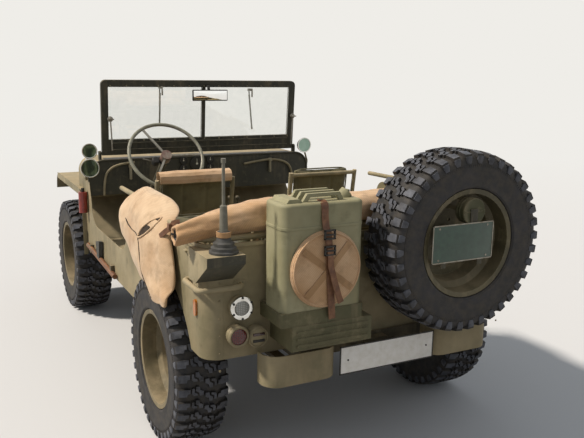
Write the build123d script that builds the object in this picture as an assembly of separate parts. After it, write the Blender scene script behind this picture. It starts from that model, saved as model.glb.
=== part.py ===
"""Open four-wheel-drive army car: chassis, tub, running gear, stowage and its moving parts.

Millimetres. Everything is modelled from the rear axle: +X forward, +Y to the left, +Z up from the
ground. save() moves it along X so that the origin lies on the ground under the middle of the car.
"""
import math
import os

from build123d import *

# Wheels and track
WHEELBASE = 2032.0
TYRE_R = 370.0
TYRE_WIDTH = 224.0
TYRE_WALL = 14.0
BEAD_R = 203.0
LIP_R = 220.0
RIM_HALF = 101.0
RIM_WALL = 5.0
HALF_TRACK = 694.0
DISC_INSET = 62.0            # disc of the dished wheel, inboard of the middle of the rim
HUB_R = 46.0
SPINDLE_R = 24.0
STUD_CIRCLE_R = 69.85
STUD_R = 7.0
STUDS = 5
RUN_CLEAR = 0.06             # radial clearance of a running fit
SEAT_GAP = 0.3               # between curved pieces that sit against each other
DRUM_R = 132.0
DRUM_DEPTH = 44.0
DRUM_WALL = 8.0
BACKPLATE_GAP = 14.0         # brake backing plate inboard of the drum

# Axles
AXLE_R = 38.0
DIFF_OFFSET = -150.0
DIFF_R = 118.0
SPRING_PAD = 40.0            # flat on the axle that a spring pack lies on, above the axle line
LEAF = 7.0
LEAVES = 4
LEAF_STEP = 0.2              # each lower leaf is shorter by this share
SPRING_WIDTH = 44.0
REAR_SPRING_HALF = 535.0
FRONT_SPRING_HALF = 460.0
EYE_R = 16.0
KINGPIN_Y = 505.0
BALL_R = 52.0
BALL_GAP = 0.5
CUP_WALL = 13.0
STEER_ARM = 130.0
STEER_DROP = 62.0            # tie rod below the axle line
TIE_ROD_R = 11.0
TIE_PIN_R = 9.0

# Chassis frame: its top stands above the axle line by RIDE
RIDE = 190.0
FRAME_TOP = TYRE_R + RIDE
SPRING_FOOT = TYRE_R + SPRING_PAD
RAIL_OUT = 371.0
RAIL_WIDTH = 45.0
RAIL_WALL = 5.0
RAIL_DEEP = 95.0
RAIL_SHALLOW = 65.0
RAIL_REAR = -540.0
RAIL_FRONT = WHEELBASE + 520
RAIL_BOTTOM = FRAME_TOP - RAIL_SHALLOW
DEEP_FROM = 400.0
DEEP_TO = WHEELBASE - 382
RAIL_STEP = 150.0
MEMBER_LOW = FRAME_TOP - 60

# Tub
TUB_HALF = 750.0
SHEET = 3.0
TUB_BACK = -530.0
TUB_BOTTOM = FRAME_TOP - 15
SILL_BOTTOM = FRAME_TOP - 60
TUB_RAIL = FRAME_TOP + 440
CORNER_R = 74.0
RAIL_LIP = 10.0              # rolled edge that stands out round the top of the tub
RAIL_LIP_HIGH = 14.0
REAR_SEAM_Y = TUB_HALF - CORNER_R - 2
ARCH_GAP = 42.0              # wheel arch round the tyre
ARCH_R = TYRE_R + ARCH_GAP
FIREWALL = WHEELBASE - 242
COWL_BACK = FIREWALL - 310
SIDE_FRONT = FIREWALL - 218
DOOR_SILL = FRAME_TOP + 140
DOOR_REAR = 610.0
DOOR_FRONT = COWL_BACK - 80
DOOR_R = 120.0
BELT_Z = FRAME_TOP + 390     # where the cowl sits on the side panels
COWL_TOP = FRAME_TOP + 515
SHOULDER_R = 95.0
COWL_BEAD_R = 7.0
DASH_DEEP = 215.0
FLOOR_T = 4.0
FLOOR_Z = FRAME_TOP + FLOOR_T
TOE_FOOT = FIREWALL - 245
TOE_TOP = FRAME_TOP + 230
BOX_INNER = 546.0            # inner wall of the wheel boxes
BOX_TOP = TYRE_R + 430
BOX_FRONT = TYRE_R + 70
TUNNEL_HALF = 105.0
TUNNEL_OFFSET = 95.0         # foot of the tunnel wider on the right
TUNNEL_TOP = FRAME_TOP + 105
TUNNEL_BACK = 1080.0

# Drive line
TRANSFER_BACK = 1120.0
TRANSFER_FRONT = 1360.0
SKID_TOP = FRAME_TOP - 127
SKID_BACK = 1150.0
SKID_FRONT = 1290.0
SHAFT_Z = FRAME_TOP - 90
PINION_REACH = 175.0
JOINT_R = 36.0
FAN_Z = FRAME_TOP + 200
PIPE_Z = FRAME_TOP - 130

# Nose
HOOD_BACK = FIREWALL + 7
GRILLE_X = WHEELBASE + 368
HOOD_FRONT = GRILLE_X - 6
HOOD_BACK_HALF = 520.0
HOOD_FRONT_HALF = 430.0
HOOD_BACK_TOP = COWL_TOP - 3
HOOD_FRONT_TOP = HOOD_BACK_TOP - 38
HOOD_SHOULDER = 62.0
HOOD_WALL = 3.0
HOOD_PIN_X = FIREWALL + 3
HOOD_PIN_Z = COWL_TOP + 9
HOOD_PIN_R = 4.0
HOOD_KNUCKLE_R = 7.0
HOOD_HINGE_Y = 380.0
MOVE_GAP = 6.0               # between a moving panel and its neighbours
GRILLE_T = 4.0
GRILLE_SLOTS = 9
RADIATOR_FOOT = 30.0
SLOT_PITCH = 50.0
SLOT_WIDTH = 30.0
SLOT_LOW = FRAME_TOP + 130
SLOT_HIGH = HOOD_FRONT_TOP - 49
LAMP_Y = 325.0
LAMP_Z = FRAME_TOP + 302
LAMP_R = 82.0
FENDER_TOP = FRAME_TOP + 322
FENDER_OUT = 776.0
FENDER_FRONT = GRILLE_X + 100
FENDER_LIP = 42.0
FENDER_TAIL_Z = FRAME_TOP - 90
FENDER_TAIL_X = SIDE_FRONT + 12
FENDER_BEND = 110.0
FENDER_NOSE_Z = FENDER_TOP - 122
APRON_LOW = FRAME_TOP + 40

# Bumpers
BUMPER_DEPTH = 60.0
BUMPER_HALF = 690.0
BUMPER_HIGH = 140.0
BUMPER_Z = FRAME_TOP - 32
BUMPER_WALL = 6.0
TOW_HOLE_Y = 420.0
TOW_HOLE_Z = 40.0
TOW_HOLE_R = 6.5
BUMPERETTE_Y = 388.0
BUMPERETTE_HALF = 158.0
BUMPERETTE_BACK = TUB_BACK - 120
BUMPERETTE_LOW = FRAME_TOP - 118
BUMPERETTE_HIGH = FRAME_TOP + 8
BUMPERETTE_BEND = 66.0
BUMPERETTE_DEPTH = 92.0

# Windshield
SCREEN_X = COWL_BACK + 50
SCREEN_PIVOT_Z = COWL_TOP + 37
SCREEN_PIVOT_Y = 668.0
SCREEN_HIGH = 448.0          # pivot to the top edge
SCREEN_TOP_Z = SCREEN_PIVOT_Z + SCREEN_HIGH
SCREEN_LEAN = 4.0            # degrees back from upright
SCREEN_HALF = 655.0
SCREEN_BAR = 42.0
SCREEN_THICK = 26.0
SCREEN_FOOT_Z = SCREEN_PIVOT_Z - 11
SCREEN_LOWER = 96.0          # height of the solid panel under the glass
DIVIDER = 22.0
GLASS_T = 6.0
PIVOT_R = 8.0

# Stowage at the back
CAN_Y = 346.0
CAN_WIDTH = 345.0
CAN_DEEP = 165.0
CAN_HIGH = 485.0             # foot to the handles
CAN_SHOULDER = 30.0          # handles above the shoulder of the can
CAN_CORNER = 34.0
CAN_FOOT = FRAME_TOP + 150
CAN_GAP = 2.0
RACK_WALL = 4.0
RACK_HIGH = 54.0
CHEST_HIGH = 98.0            # ribbed box under the rack
CHEST_SHIFT = 30.0           # its place to the right of the can
SPARE_Y = -268.0
SPARE_Z = FRAME_TOP + 408
SPARE_GAP = 48.0             # tyre behind the tub
CARRIER_R = 96.0
PLATE_T = 3.0
REAR_TAG_WIDTH = 300.0
REAR_TAG_HIGH = 152.0
REAR_TAG_Y = SPARE_Y + 50
TAG_STANDOFF = 12.0          # tag behind the spare tyre
TAG_LAMP_R = 54.0
TAG_LAMP_DEEP = 58.0
LOW_TAG_WIDTH = 452.0
LOW_TAG_HIGH = 112.0
ROLL_R = 70.0
BUCKET_R = 147.0
BUCKET_THICK = 25.0
HANDLE_R = 11.0
HANDLE_OUT = 32.0            # handle clear of the tub
HANDLE_Z = FRAME_TOP + 278

# Steering wheel
WHEEL_X = COWL_BACK - 450
WHEEL_Y = 400.0
WHEEL_Z = FRAME_TOP + 585
WHEEL_R = 222.0
WHEEL_RIM_R = 10.0
COLUMN_ANGLE = 39.0          # column above level
COLUMN_R = 19.0
COLUMN_LONG = 1060.0
STEER_SHAFT_R = 10.0

# Seats
SEAT_TUBE_R = 12.0
SEAT_BACK_X = 770.0
SEAT_FRONT_X = 1170.0
SEAT_HALF = 225.0
SEAT_LOW = FRAME_TOP + 188
SEAT_HIGH = SEAT_LOW + 64
BACK_TOP = FRAME_TOP + 516
BACK_LEAN = 50.0
PAD = 48.0
SEAT_Y = 345.0
TIP_SEAT_Y = -440.0
SEAT_PIN_Z = FRAME_TOP + 26
SEAT_PIN_R = 6.0
REAR_SEAT_HALF = 460.0
REAR_BACK_X = -240.0
REAR_BACK_TOP = FRAME_TOP + 450

SPARE_X = TUB_BACK - SPARE_GAP - TYRE_WIDTH / 2
TAG_X = SPARE_X - TYRE_WIDTH / 2 - TAG_STANDOFF
REAR_END = TAG_X - PLATE_T
FRONT_END = RAIL_FRONT + BUMPER_DEPTH
SHIFT_X = -(REAR_END + FRONT_END) / 2
CAN_BACK = TUB_BACK - RAIL_LIP - RACK_WALL - CAN_GAP - CAN_DEEP


def block(x0, x1, y0, y1, z0, z1):
    """A box between two corners."""
    return Pos((x0 + x1) / 2, (y0 + y1) / 2, (z0 + z1) / 2) * Box(x1 - x0, y1 - y0, z1 - z0)


def both(shape):
    """A left-hand piece and its mirror image on the right."""
    return shape + mirror(shape, about=Plane.XZ)


def outline(points, radii=0):
    """A closed wire through the points, with its corners rounded if a radius is given."""
    if radii:
        return FilletPolyline(*points, radius=radii, close=True)
    return Polyline(*points, close=True)


def prism_y(points, y0, y1, radii=0):
    """An outline of (x, z) points, as thick as y0 to y1."""
    face = make_face(outline([(x, y0, z) for x, z in points], radii))
    return extrude(face, amount=y1 - y0, dir=(0, 1, 0))


def prism_x(points, x0, x1, radii=0):
    """An outline of (y, z) points, as thick as x0 to x1."""
    face = make_face(outline([(x0, y, z) for y, z in points], radii))
    return extrude(face, amount=x1 - x0, dir=(1, 0, 0))


def prism_z(points, z0, z1, radii=0):
    """An outline of (x, y) points, as thick as z0 to z1."""
    face = make_face(outline([(x, y, z0) for x, y in points], radii))
    return extrude(face, amount=z1 - z0, dir=(0, 0, 1))


def rod(start, end, radius):
    """A round bar between two points."""
    start, end = Vector(*start), Vector(*end)
    along = Plane(origin=start, z_dir=end - start)
    return along * Cylinder(radius, (end - start).length, align=(Align.CENTER, Align.CENTER, Align.MIN))


def bent_tube(points, radius, bend):
    """A round bar along straight runs joined by arcs."""
    path = FilletPolyline(*points, radius=bend)
    return sweep(Plane(origin=path @ 0, z_dir=path % 0) * Circle(radius), path=path)


def turned(points, centre, direction):
    """Points of (distance along the axis, radius) turned about an axis through centre."""
    section = make_face(Polyline(*[(r, 0, a) for a, r in points], close=True))
    solid = revolve(section, axis=Axis.Z)
    return Plane(origin=centre, z_dir=direction) * solid


def save(name, shape):
    """Write one sub-part, moved to the car's own origin."""
    moved = Pos(SHIFT_X, 0, 0) * shape
    export_step(moved, os.path.join("parts", name + ".step"))


# Chassis

def rail_profile(inset):
    """Side outline of a frame rail, shrunk by inset: shallow over the axles, deep between them."""
    top = FRAME_TOP - inset
    shallow = FRAME_TOP - RAIL_SHALLOW + inset
    deep = FRAME_TOP - RAIL_DEEP + inset
    return [
        (RAIL_REAR, shallow),
        (DEEP_FROM - RAIL_STEP, shallow),
        (DEEP_FROM, deep),
        (DEEP_TO, deep),
        (DEEP_TO + RAIL_STEP, shallow),
        (RAIL_FRONT, shallow),
        (RAIL_FRONT, top),
        (RAIL_REAR, top),
    ]


# Cross-members: back face, front face, lowest and highest height
CROSS_MEMBERS = [
    (RAIL_REAR, RAIL_REAR + 60, RAIL_BOTTOM, FRAME_TOP),
    (270, 330, MEMBER_LOW, FRAME_TOP),
    (900, 960, MEMBER_LOW, FRAME_TOP),
    (RAIL_FRONT - 132, RAIL_FRONT - 72, RAIL_BOTTOM, FRAME_TOP),
]
# Outriggers that carry the tub: place along the car
OUTRIGGERS = [620, 1330]


def make_frame():
    """Ladder frame of two channel rails with cross-members, outriggers and bumperette gussets."""
    rail = prism_y(rail_profile(0), RAIL_OUT - RAIL_WIDTH, RAIL_OUT)
    rail -= prism_y(rail_profile(RAIL_WALL), RAIL_OUT - RAIL_WIDTH, RAIL_OUT - RAIL_WALL)
    frame = both(rail)
    inner = RAIL_OUT - RAIL_WALL
    for back, front, low, high in CROSS_MEMBERS:
        frame += block(back, front, -inner, inner, low, high)
    for x in OUTRIGGERS:
        arm = prism_x([(RAIL_OUT, MEMBER_LOW), (RAIL_OUT, FRAME_TOP), (TUB_HALF - 40, FRAME_TOP),
                       (TUB_HALF - 40, FRAME_TOP - 20)], x - 25, x + 25)
        frame += both(arm)
    low, high = RAIL_BOTTOM + 2, FRAME_TOP - 19
    back = BUMPERETTE_BACK + BUMPER_WALL
    gusset = prism_y([(RAIL_REAR, low), (RAIL_REAR, high), (back, high - 6), (back, low + 6)], RAIL_OUT - 8,
                     RAIL_OUT)
    middle = (RAIL_REAR + back) / 2
    gusset -= rod((middle, 0, FRAME_TOP - 41), (middle, TUB_HALF, FRAME_TOP - 41), 9)
    frame += both(gusset)
    return frame


def make_skid_plate():
    """Dished plate hung under the rails below the transfer case."""
    deep = FRAME_TOP - RAIL_DEEP
    half, low = RAIL_OUT, SKID_TOP - 8
    skid = [(-half, deep), (-half + 45, low), (half - 45, low), (half, deep), (half - 20, deep),
            (half - 55, SKID_TOP), (-half + 55, SKID_TOP), (-half + 20, deep)]
    return prism_x(skid, SKID_BACK, SKID_FRONT)


def make_tow_hook():
    """Hook with an upturned tip, bolted to the back cross-member."""
    low = FRAME_TOP - 68
    tip = RAIL_REAR - 104
    hook = block(RAIL_REAR - 40, RAIL_REAR, -45, 45, low - 7, FRAME_TOP - 15)
    hook += block(tip + 8, RAIL_REAR - 40, -16, 16, low, low + 28)
    return hook + block(tip, tip + 24, -16, 16, low, low + 56)


def make_front_bumper():
    """Channel bumper with its feet on the rails and four holes for a tow bar."""
    low, high = BUMPER_Z - BUMPER_HIGH / 2, BUMPER_Z + BUMPER_HIGH / 2
    bar = block(RAIL_FRONT, FRONT_END, -BUMPER_HALF, BUMPER_HALF, low, high)
    bar -= block(RAIL_FRONT, FRONT_END - BUMPER_WALL, -BUMPER_HALF, BUMPER_HALF,
                 low + BUMPER_WALL, high - BUMPER_WALL)
    foot = block(RAIL_FRONT, FRONT_END - BUMPER_WALL, RAIL_OUT - RAIL_WIDTH, RAIL_OUT, low, high)
    bar += both(foot)
    for side in (-1, 1):
        for z in (BUMPER_Z - TOW_HOLE_Z, BUMPER_Z + TOW_HOLE_Z):
            bar -= rod((RAIL_FRONT - 1, side * TOW_HOLE_Y, z), (FRONT_END + 1, side * TOW_HOLE_Y, z),
                       TOW_HOLE_R)
    return bar


def make_bumperettes():
    """The pair of plates bent round at both ends that stand behind the frame."""
    bend, half, wall = BUMPERETTE_BEND, BUMPERETTE_HALF, BUMPER_WALL
    back, front = BUMPERETTE_BACK, BUMPERETTE_BACK + BUMPERETTE_DEPTH
    high = BUMPERETTE_HIGH - BUMPERETTE_LOW
    solid = block(back, front, -half, half, 0, high)
    solid = fillet(solid.edges().filter_by(Axis.Z).sort_by(Axis.X)[:2], bend)
    hollow = block(back + wall, front + 1, wall - half, half - wall, -1, high + 1)
    hollow = fillet(hollow.edges().filter_by(Axis.Z).sort_by(Axis.X)[:2], bend - wall)
    return both(Pos(0, BUMPERETTE_Y, BUMPERETTE_LOW) * (solid - hollow))


# Running gear

def make_axle(x, knuckles):
    """Axle housing with its offset final drive. The steered one ends in balls, the other in spindles."""
    reach = KINGPIN_Y if knuckles else HALF_TRACK - DISC_INSET - DRUM_DEPTH - 14
    axle = rod((x, -reach, TYRE_R), (x, reach, TYRE_R), AXLE_R)
    axle += turned([(-85, 0), (-85, 62), (-45, 104), (-12, DIFF_R), (12, DIFF_R), (45, 104), (85, 62),
                    (85, 0)],
                   (x, DIFF_OFFSET, TYRE_R), (1, 0, 0))
    toward = -1 if knuckles else 1
    axle += rod((x, DIFF_OFFSET, TYRE_R), (x + toward * PINION_REACH, DIFF_OFFSET, TYRE_R), 42)
    for side in (1, -1):
        axle += block(x - 45, x + 45, side * 350 - SPRING_WIDTH / 2, side * 350 + SPRING_WIDTH / 2,
                      TYRE_R, SPRING_FOOT)
        if knuckles:
            axle += Pos(x, side * KINGPIN_Y, TYRE_R) * Sphere(BALL_R)
        else:
            axle += spindle(x, side, reach)
    return axle


def spindle(x, side, reach):
    """Brake backing plate and the shaft that a wheel turns on."""
    plate = rod((x, side * (reach - 6), TYRE_R), (x, side * reach, TYRE_R), DRUM_R)
    return plate + rod((x, side * reach, TYRE_R), (x, side * (HALF_TRACK - DISC_INSET + 24), TYRE_R),
                       SPINDLE_R)


def make_knuckle(side):
    """Cup round the axle's ball, with the brake plate, the spindle and the steering arm."""
    centre = (WHEELBASE, KINGPIN_Y, TYRE_R)
    reach = HALF_TRACK - DISC_INSET - DRUM_DEPTH - 14
    cup = Pos(*centre) * Sphere(BALL_R + CUP_WALL)
    cup += rod((WHEELBASE, KINGPIN_Y, TYRE_R), (WHEELBASE, reach - 5, TYRE_R), 50)
    cup -= block(WHEELBASE - 150, WHEELBASE + 150, KINGPIN_Y - 150, KINGPIN_Y - 14, TYRE_R - 150,
                 TYRE_R + 150)
    arm_x, arm_z = WHEELBASE - STEER_ARM, TYRE_R - STEER_DROP
    arm = prism_z([(WHEELBASE + 10, KINGPIN_Y - 12), (WHEELBASE + 10, KINGPIN_Y + 26),
                   (arm_x, KINGPIN_Y + 16), (arm_x, KINGPIN_Y - 16)], arm_z - 9, arm_z + 9)
    cup += arm + Pos(arm_x, KINGPIN_Y, arm_z) * Cylinder(20, 18)
    cup += rod((arm_x, KINGPIN_Y, arm_z - 50), (arm_x, KINGPIN_Y, arm_z), TIE_PIN_R)
    cup -= Pos(*centre) * Sphere(BALL_R + BALL_GAP)
    knuckle = cup + spindle(WHEELBASE, 1, reach)
    return knuckle if side > 0 else mirror(knuckle, about=Plane.XZ)


def make_tie_rod():
    """Bar with an eye at each end, hung under the two steering arms."""
    y = KINGPIN_Y
    x = WHEELBASE - STEER_ARM
    z = TYRE_R - STEER_DROP - 30
    bar = rod((x, -y, z), (x, y, z), TIE_ROD_R)
    for side in (1, -1):
        bar += Pos(x, side * y, z) * Cylinder(22, 2 * TIE_ROD_R + 8)
    for side in (1, -1):
        bar -= Pos(x, side * y, z) * Cylinder(TIE_PIN_R + RUN_CLEAR, 60)
    return bar


def rim_section():
    """Half section of the dished rim with its disc, as (outboard distance, radius)."""
    disc = -DISC_INSET
    w = RIM_WALL
    return [
        (disc, HUB_R), (disc, 120), (disc + 16, 136), (disc + 16, 158), (disc - 6, 176),
        (-RIM_HALF + 16, BEAD_R - 6), (-RIM_HALF + 3, BEAD_R - 2), (-RIM_HALF, LIP_R), (-RIM_HALF + w,
                                                                                        LIP_R),
        (-RIM_HALF + w + 3, BEAD_R + w - 2), (-RIM_HALF + 24, BEAD_R), (disc + 4, 176 + w), (10, 176 + w),
        (28, BEAD_R), (RIM_HALF - 24, BEAD_R), (RIM_HALF - w - 3, BEAD_R + w - 2), (RIM_HALF - w, LIP_R),
        (RIM_HALF, LIP_R), (RIM_HALF - 2, BEAD_R - 2), (32, BEAD_R - w), (14, 176), (disc + 21,
                                                                                     158 + w), (disc + 21,
                                                                                                134),
        (disc + w, 116), (disc + w, HUB_R),
    ]


def hub_section():
    """Half section of hub and brake drum, as (outboard distance, radius)."""
    disc = -DISC_INSET
    bore = SPINDLE_R + RUN_CLEAR
    return [
        (disc - DRUM_DEPTH, 60), (disc - DRUM_DEPTH, bore), (disc + 25, bore), (disc + 25, 0), (disc + 34,
                                                                                                0),
        (disc + 34, HUB_R - 8), (disc + 24, HUB_R),
        (disc, HUB_R), (disc, DRUM_R), (disc - DRUM_DEPTH, DRUM_R), (disc - DRUM_DEPTH, DRUM_R - 8),
        (disc - 8, DRUM_R - 8), (disc - 8, 60),
    ]


def make_wheel(centre, outboard, hub=True):
    """Rim and disc with the hub and brake drum behind it, or the bare wheel of the spare."""
    rim = turned(rim_section(), centre, outboard)
    if hub:
        rim += turned(hub_section(), centre, outboard)
    face = Plane(origin=centre, z_dir=outboard)
    for spot in PolarLocations(STUD_CIRCLE_R, STUDS, start_angle=90):
        hole_or_stud = spot * Pos(0, 0, -DISC_INSET) * Cylinder(STUD_R, 44)
        if hub:
            rim += face * hole_or_stud
        else:
            rim -= face * hole_or_stud
    return rim


def tyre_section(gap=SEAT_GAP):
    """Outer and inner outline of the tyre's half section, as (sideways, radius)."""
    half = TYRE_WIDTH / 2
    bead = BEAD_R + gap
    seat, lip = RIM_HALF - 8.8, RIM_HALF - RIM_WALL - 0.8
    outer = [
        (-seat + 16, bead + 0.2), (-seat, bead + 3.2), (-lip, LIP_R + 0.8), (-half + 6,
                                                                             LIP_R + 8), (-half + 3, 262),
        (-half, 300), (-half + 6, 338), (-half + 20, TYRE_R - 8), (-60, TYRE_R), (60, TYRE_R),
        (half - 20, TYRE_R - 8), (half - 6, 338), (half, 300), (half - 3, 262), (half - 6, LIP_R + 8),
        (lip, LIP_R + 0.8), (seat, bead + 3.2), (seat - 16, bead + 0.2),
    ]
    inner = [
        (seat - 12, LIP_R - 2), (half - TYRE_WALL, 280), (half - 22, TYRE_R - 42), (60, TYRE_R - 20),
        (-60, TYRE_R - 20), (-half + 22, TYRE_R - 42), (-half + TYRE_WALL, 280), (-seat + 12, LIP_R - 2),
    ]
    return outer + inner


def make_tyre(centre, outboard):
    """Hollow tyre seated on the rim."""
    return turned(tyre_section(), centre, outboard)


def make_spring(x, y, half, hangers):
    """Leaf pack with its eyes, and the hanger and shackle that reach up to the rail."""
    side0, side1 = y - SPRING_WIDTH / 2, y + SPRING_WIDTH / 2
    top = SPRING_FOOT + LEAF * LEAVES
    steps = []
    for leaf in range(LEAVES):
        reach = half * (1 - LEAF_STEP * (LEAVES - 1 - leaf))
        steps += [(reach, SPRING_FOOT + leaf * LEAF), (reach, SPRING_FOOT + (leaf + 1) * LEAF)]
    pack = [(x + a, z) for a, z in steps] + [(x - a, z) for a, z in reversed(steps)]
    spring = prism_y(pack, side0, side1)
    for end, rail_under in zip((-1, 1), hangers):
        eye_x = x + end * half
        spring += rod((eye_x, side0, top - LEAF / 2), (eye_x, side1, top - LEAF / 2), EYE_R)
        spring += block(eye_x - EYE_R + 2, eye_x + EYE_R - 2, side0, side1, top - LEAF / 2, rail_under)
    return spring


def rail_bottom(x):
    """Underside of the frame rail at a place along the car."""
    if DEEP_FROM <= x <= DEEP_TO:
        return FRAME_TOP - RAIL_DEEP
    if DEEP_FROM - RAIL_STEP < x < DEEP_FROM:
        share = (x - DEEP_FROM + RAIL_STEP) / RAIL_STEP
        return FRAME_TOP - RAIL_SHALLOW - share * (RAIL_DEEP - RAIL_SHALLOW)
    return FRAME_TOP - RAIL_SHALLOW


def make_suspension():
    """Four leaf springs hung from the rails and four dampers."""
    parts = []
    for x, half in ((0, REAR_SPRING_HALF), (WHEELBASE, FRONT_SPRING_HALF)):
        hangers = [rail_bottom(x - half), rail_bottom(x + half)]
        y = RAIL_OUT - SPRING_WIDTH / 2
        parts.append(make_spring(x, y, half, hangers))
    shocks = []
    for x, lean in ((0, 150), (WHEELBASE, 150)):
        foot = (x + lean * 0.35, 406, SPRING_FOOT + 18)
        head = (x + lean, 406, FRAME_TOP - 20)
        shock = rod(foot, head, 20)
        shock += rod((head[0], RAIL_OUT, head[2]), (head[0], 434, head[2]), 14)
        shocks.append(shock)
    result = both(parts[0]) + both(parts[1]) + both(shocks[0]) + both(shocks[1])
    return result


# Engine and drive line

def make_engine():
    """The engine as one plain block at its real place, with its fan in front and its gearbox behind."""
    back, front = FIREWALL + 60, GRILLE_X - 130
    engine = block(back, front, -150, 150, FRAME_TOP - 30, FRAME_TOP + 370)
    engine += block(FIREWALL + 5, back, -150, 150, FRAME_TOP - 30, FRAME_TOP + 140)
    engine += block(TRANSFER_FRONT, FIREWALL + 5, -95, 66, FRAME_TOP - 25, FRAME_TOP + 80)
    engine += block(TRANSFER_BACK, TRANSFER_FRONT, -155, 60, SKID_TOP + SEAT_GAP, FRAME_TOP + 50)
    engine += rod((front, 0, FAN_Z), (front + 60, 0, FAN_Z), 60)
    engine += rod((front + 52, 0, FAN_Z), (front + 60, 0, FAN_Z), 175)
    return engine


def make_propshafts():
    """Front and rear shaft, each between a joint at the transfer case and one at the axle."""
    shafts = None
    for case_x, axle_x, toward in ((TRANSFER_BACK, PINION_REACH, -1),
                                   (TRANSFER_FRONT, WHEELBASE - PINION_REACH, 1)):
        near = (case_x + toward * (JOINT_R + SEAT_GAP), DIFF_OFFSET, SHAFT_Z)
        far = (axle_x - toward * (JOINT_R + SEAT_GAP), DIFF_OFFSET, TYRE_R)
        shaft = rod(near, far, 24) + Pos(*near) * Sphere(JOINT_R) + Pos(*far) * Sphere(JOINT_R)
        shafts = shaft if shafts is None else shafts + shaft
    return shafts


def make_exhaust():
    """Down pipe, muffler under the right side and tail pipe ahead of the rear wheel."""
    start, port = FIREWALL + 110, FRAME_TOP + 40
    pipe = bent_tube([(start, -150, port), (start, -262, port), (start, -270, PIPE_Z),
                      (start - 340, -290, PIPE_Z),
                      (start - 480, -450, PIPE_Z), (1240, -450, PIPE_Z)], 20, 38)
    pipe += rod((1250, -450, PIPE_Z), (800, -450, PIPE_Z), 58)
    pipe += bent_tube([(810, -450, PIPE_Z), (640, -450, PIPE_Z), (600, -690, PIPE_Z - 5)], 18, 60)
    return pipe


def make_fuel_tank():
    """Tank under the driver's seat, outside the frame rail."""
    tank = block(760, 1180, RAIL_OUT + 20, TUB_HALF - 50, FRAME_TOP - 105, FRAME_TOP)
    return fillet(tank.edges().filter_by(Axis.Z), 30)


def make_radiator():
    """Radiator on its two feet behind the grille."""
    back = GRILLE_X - 50
    foot = FRAME_TOP + RADIATOR_FOOT
    core = block(back, GRILLE_X - 8, -235, 235, foot, HOOD_FRONT_TOP - 34)
    core += both(block(back, GRILLE_X + 80, 150, 190, FRAME_TOP, foot))
    return core


# Tub

def plan_side(thick_out, thick_in, front):
    """Plan of a tub side with its rounded rear corner, from the seam in the back to the front."""
    o = TUB_HALF + thick_out
    i = TUB_HALF - thick_in
    back_o, back_i = TUB_BACK - thick_out, TUB_BACK + thick_in
    cx, cy = TUB_BACK + CORNER_R, TUB_HALF - CORNER_R
    ro, ri = CORNER_R + thick_out, CORNER_R - thick_in
    k = math.sqrt(0.5)
    edges = [
        Line((front, o), (cx, o)),
        ThreePointArc((cx, o), (cx - ro * k, cy + ro * k), (back_o, cy)),
        Line((back_o, cy), (back_o, REAR_SEAM_Y)),
        Line((back_o, REAR_SEAM_Y), (back_i, REAR_SEAM_Y)),
        Line((back_i, REAR_SEAM_Y), (back_i, cy)),
        ThreePointArc((back_i, cy), (cx - ri * k, cy + ri * k), (cx, i)),
        Line((cx, i), (front, i)),
        Line((front, i), (front, o)),
    ]
    return make_face(Wire(edges))


def side_outline():
    """Side view of the tub side: sill, front edge, belt, door dip and top rail."""
    back = TUB_BACK - 40
    arch = lambda z: math.sqrt(ARCH_R ** 2 - (z - TYRE_R) ** 2)
    k = math.sqrt(0.5)
    edges = [
        Line((back, TUB_BOTTOM), (-arch(TUB_BOTTOM), TUB_BOTTOM)),
        ThreePointArc((-arch(TUB_BOTTOM), TUB_BOTTOM), (0, TYRE_R + ARCH_R),
                      (arch(SILL_BOTTOM), SILL_BOTTOM)),
        Line((arch(SILL_BOTTOM), SILL_BOTTOM), (SIDE_FRONT, SILL_BOTTOM)),
        Line((SIDE_FRONT, SILL_BOTTOM), (SIDE_FRONT, FENDER_TOP - 90)),
        Line((SIDE_FRONT, FENDER_TOP - 90), (FIREWALL, FENDER_TOP - 20)),
        Line((FIREWALL, FENDER_TOP - 20), (FIREWALL, BELT_Z)),
        Line((FIREWALL, BELT_Z), (COWL_BACK, BELT_Z)),
        Line((COWL_BACK, BELT_Z), (DOOR_FRONT + 30, DOOR_SILL + DOOR_R)),
        ThreePointArc((DOOR_FRONT + 30, DOOR_SILL + DOOR_R),
                      (DOOR_FRONT + 30 - DOOR_R * (1 - k) - 6, DOOR_SILL + DOOR_R * (1 - k)),
                      (DOOR_FRONT - 90, DOOR_SILL)),
        Line((DOOR_FRONT - 90, DOOR_SILL), (DOOR_REAR + DOOR_R, DOOR_SILL)),
        ThreePointArc((DOOR_REAR + DOOR_R, DOOR_SILL),
                      (DOOR_REAR + DOOR_R * (1 - k), DOOR_SILL + DOOR_R * (1 - k)),
                      (DOOR_REAR, DOOR_SILL + DOOR_R)),
        Line((DOOR_REAR, DOOR_SILL + DOOR_R), (DOOR_REAR - 20, TUB_RAIL - 60)),
        ThreePointArc((DOOR_REAR - 20, TUB_RAIL - 60), (DOOR_REAR - 42, TUB_RAIL - 18),
                      (DOOR_REAR - 85, TUB_RAIL)),
        Line((DOOR_REAR - 85, TUB_RAIL), (back, TUB_RAIL)),
        Line((back, TUB_RAIL), (back, TUB_BOTTOM)),
    ]
    return make_face(Wire(edges))


def make_side_panel(side):
    """Side of the tub with its rounded rear corner, door dip, wheel arch and rolled rail."""
    wall = Pos(0, 0, SILL_BOTTOM) * extrude(plan_side(0, SHEET, FIREWALL), TUB_RAIL - SILL_BOTTOM)
    cutter = extrude(Plane(origin=(0, REAR_SEAM_Y - 10, 0), x_dir=(1, 0, 0),
                           z_dir=(0, -1, 0)) * side_outline(),
                     -(TUB_HALF - REAR_SEAM_Y + 60))
    panel = wall & cutter
    lip = extrude(plan_side(RAIL_LIP, 0, DOOR_REAR - 90), RAIL_LIP_HIGH)
    panel += Pos(0, 0, TUB_RAIL - RAIL_LIP_HIGH) * lip
    return panel if side > 0 else mirror(panel, about=Plane.XZ)


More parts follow.
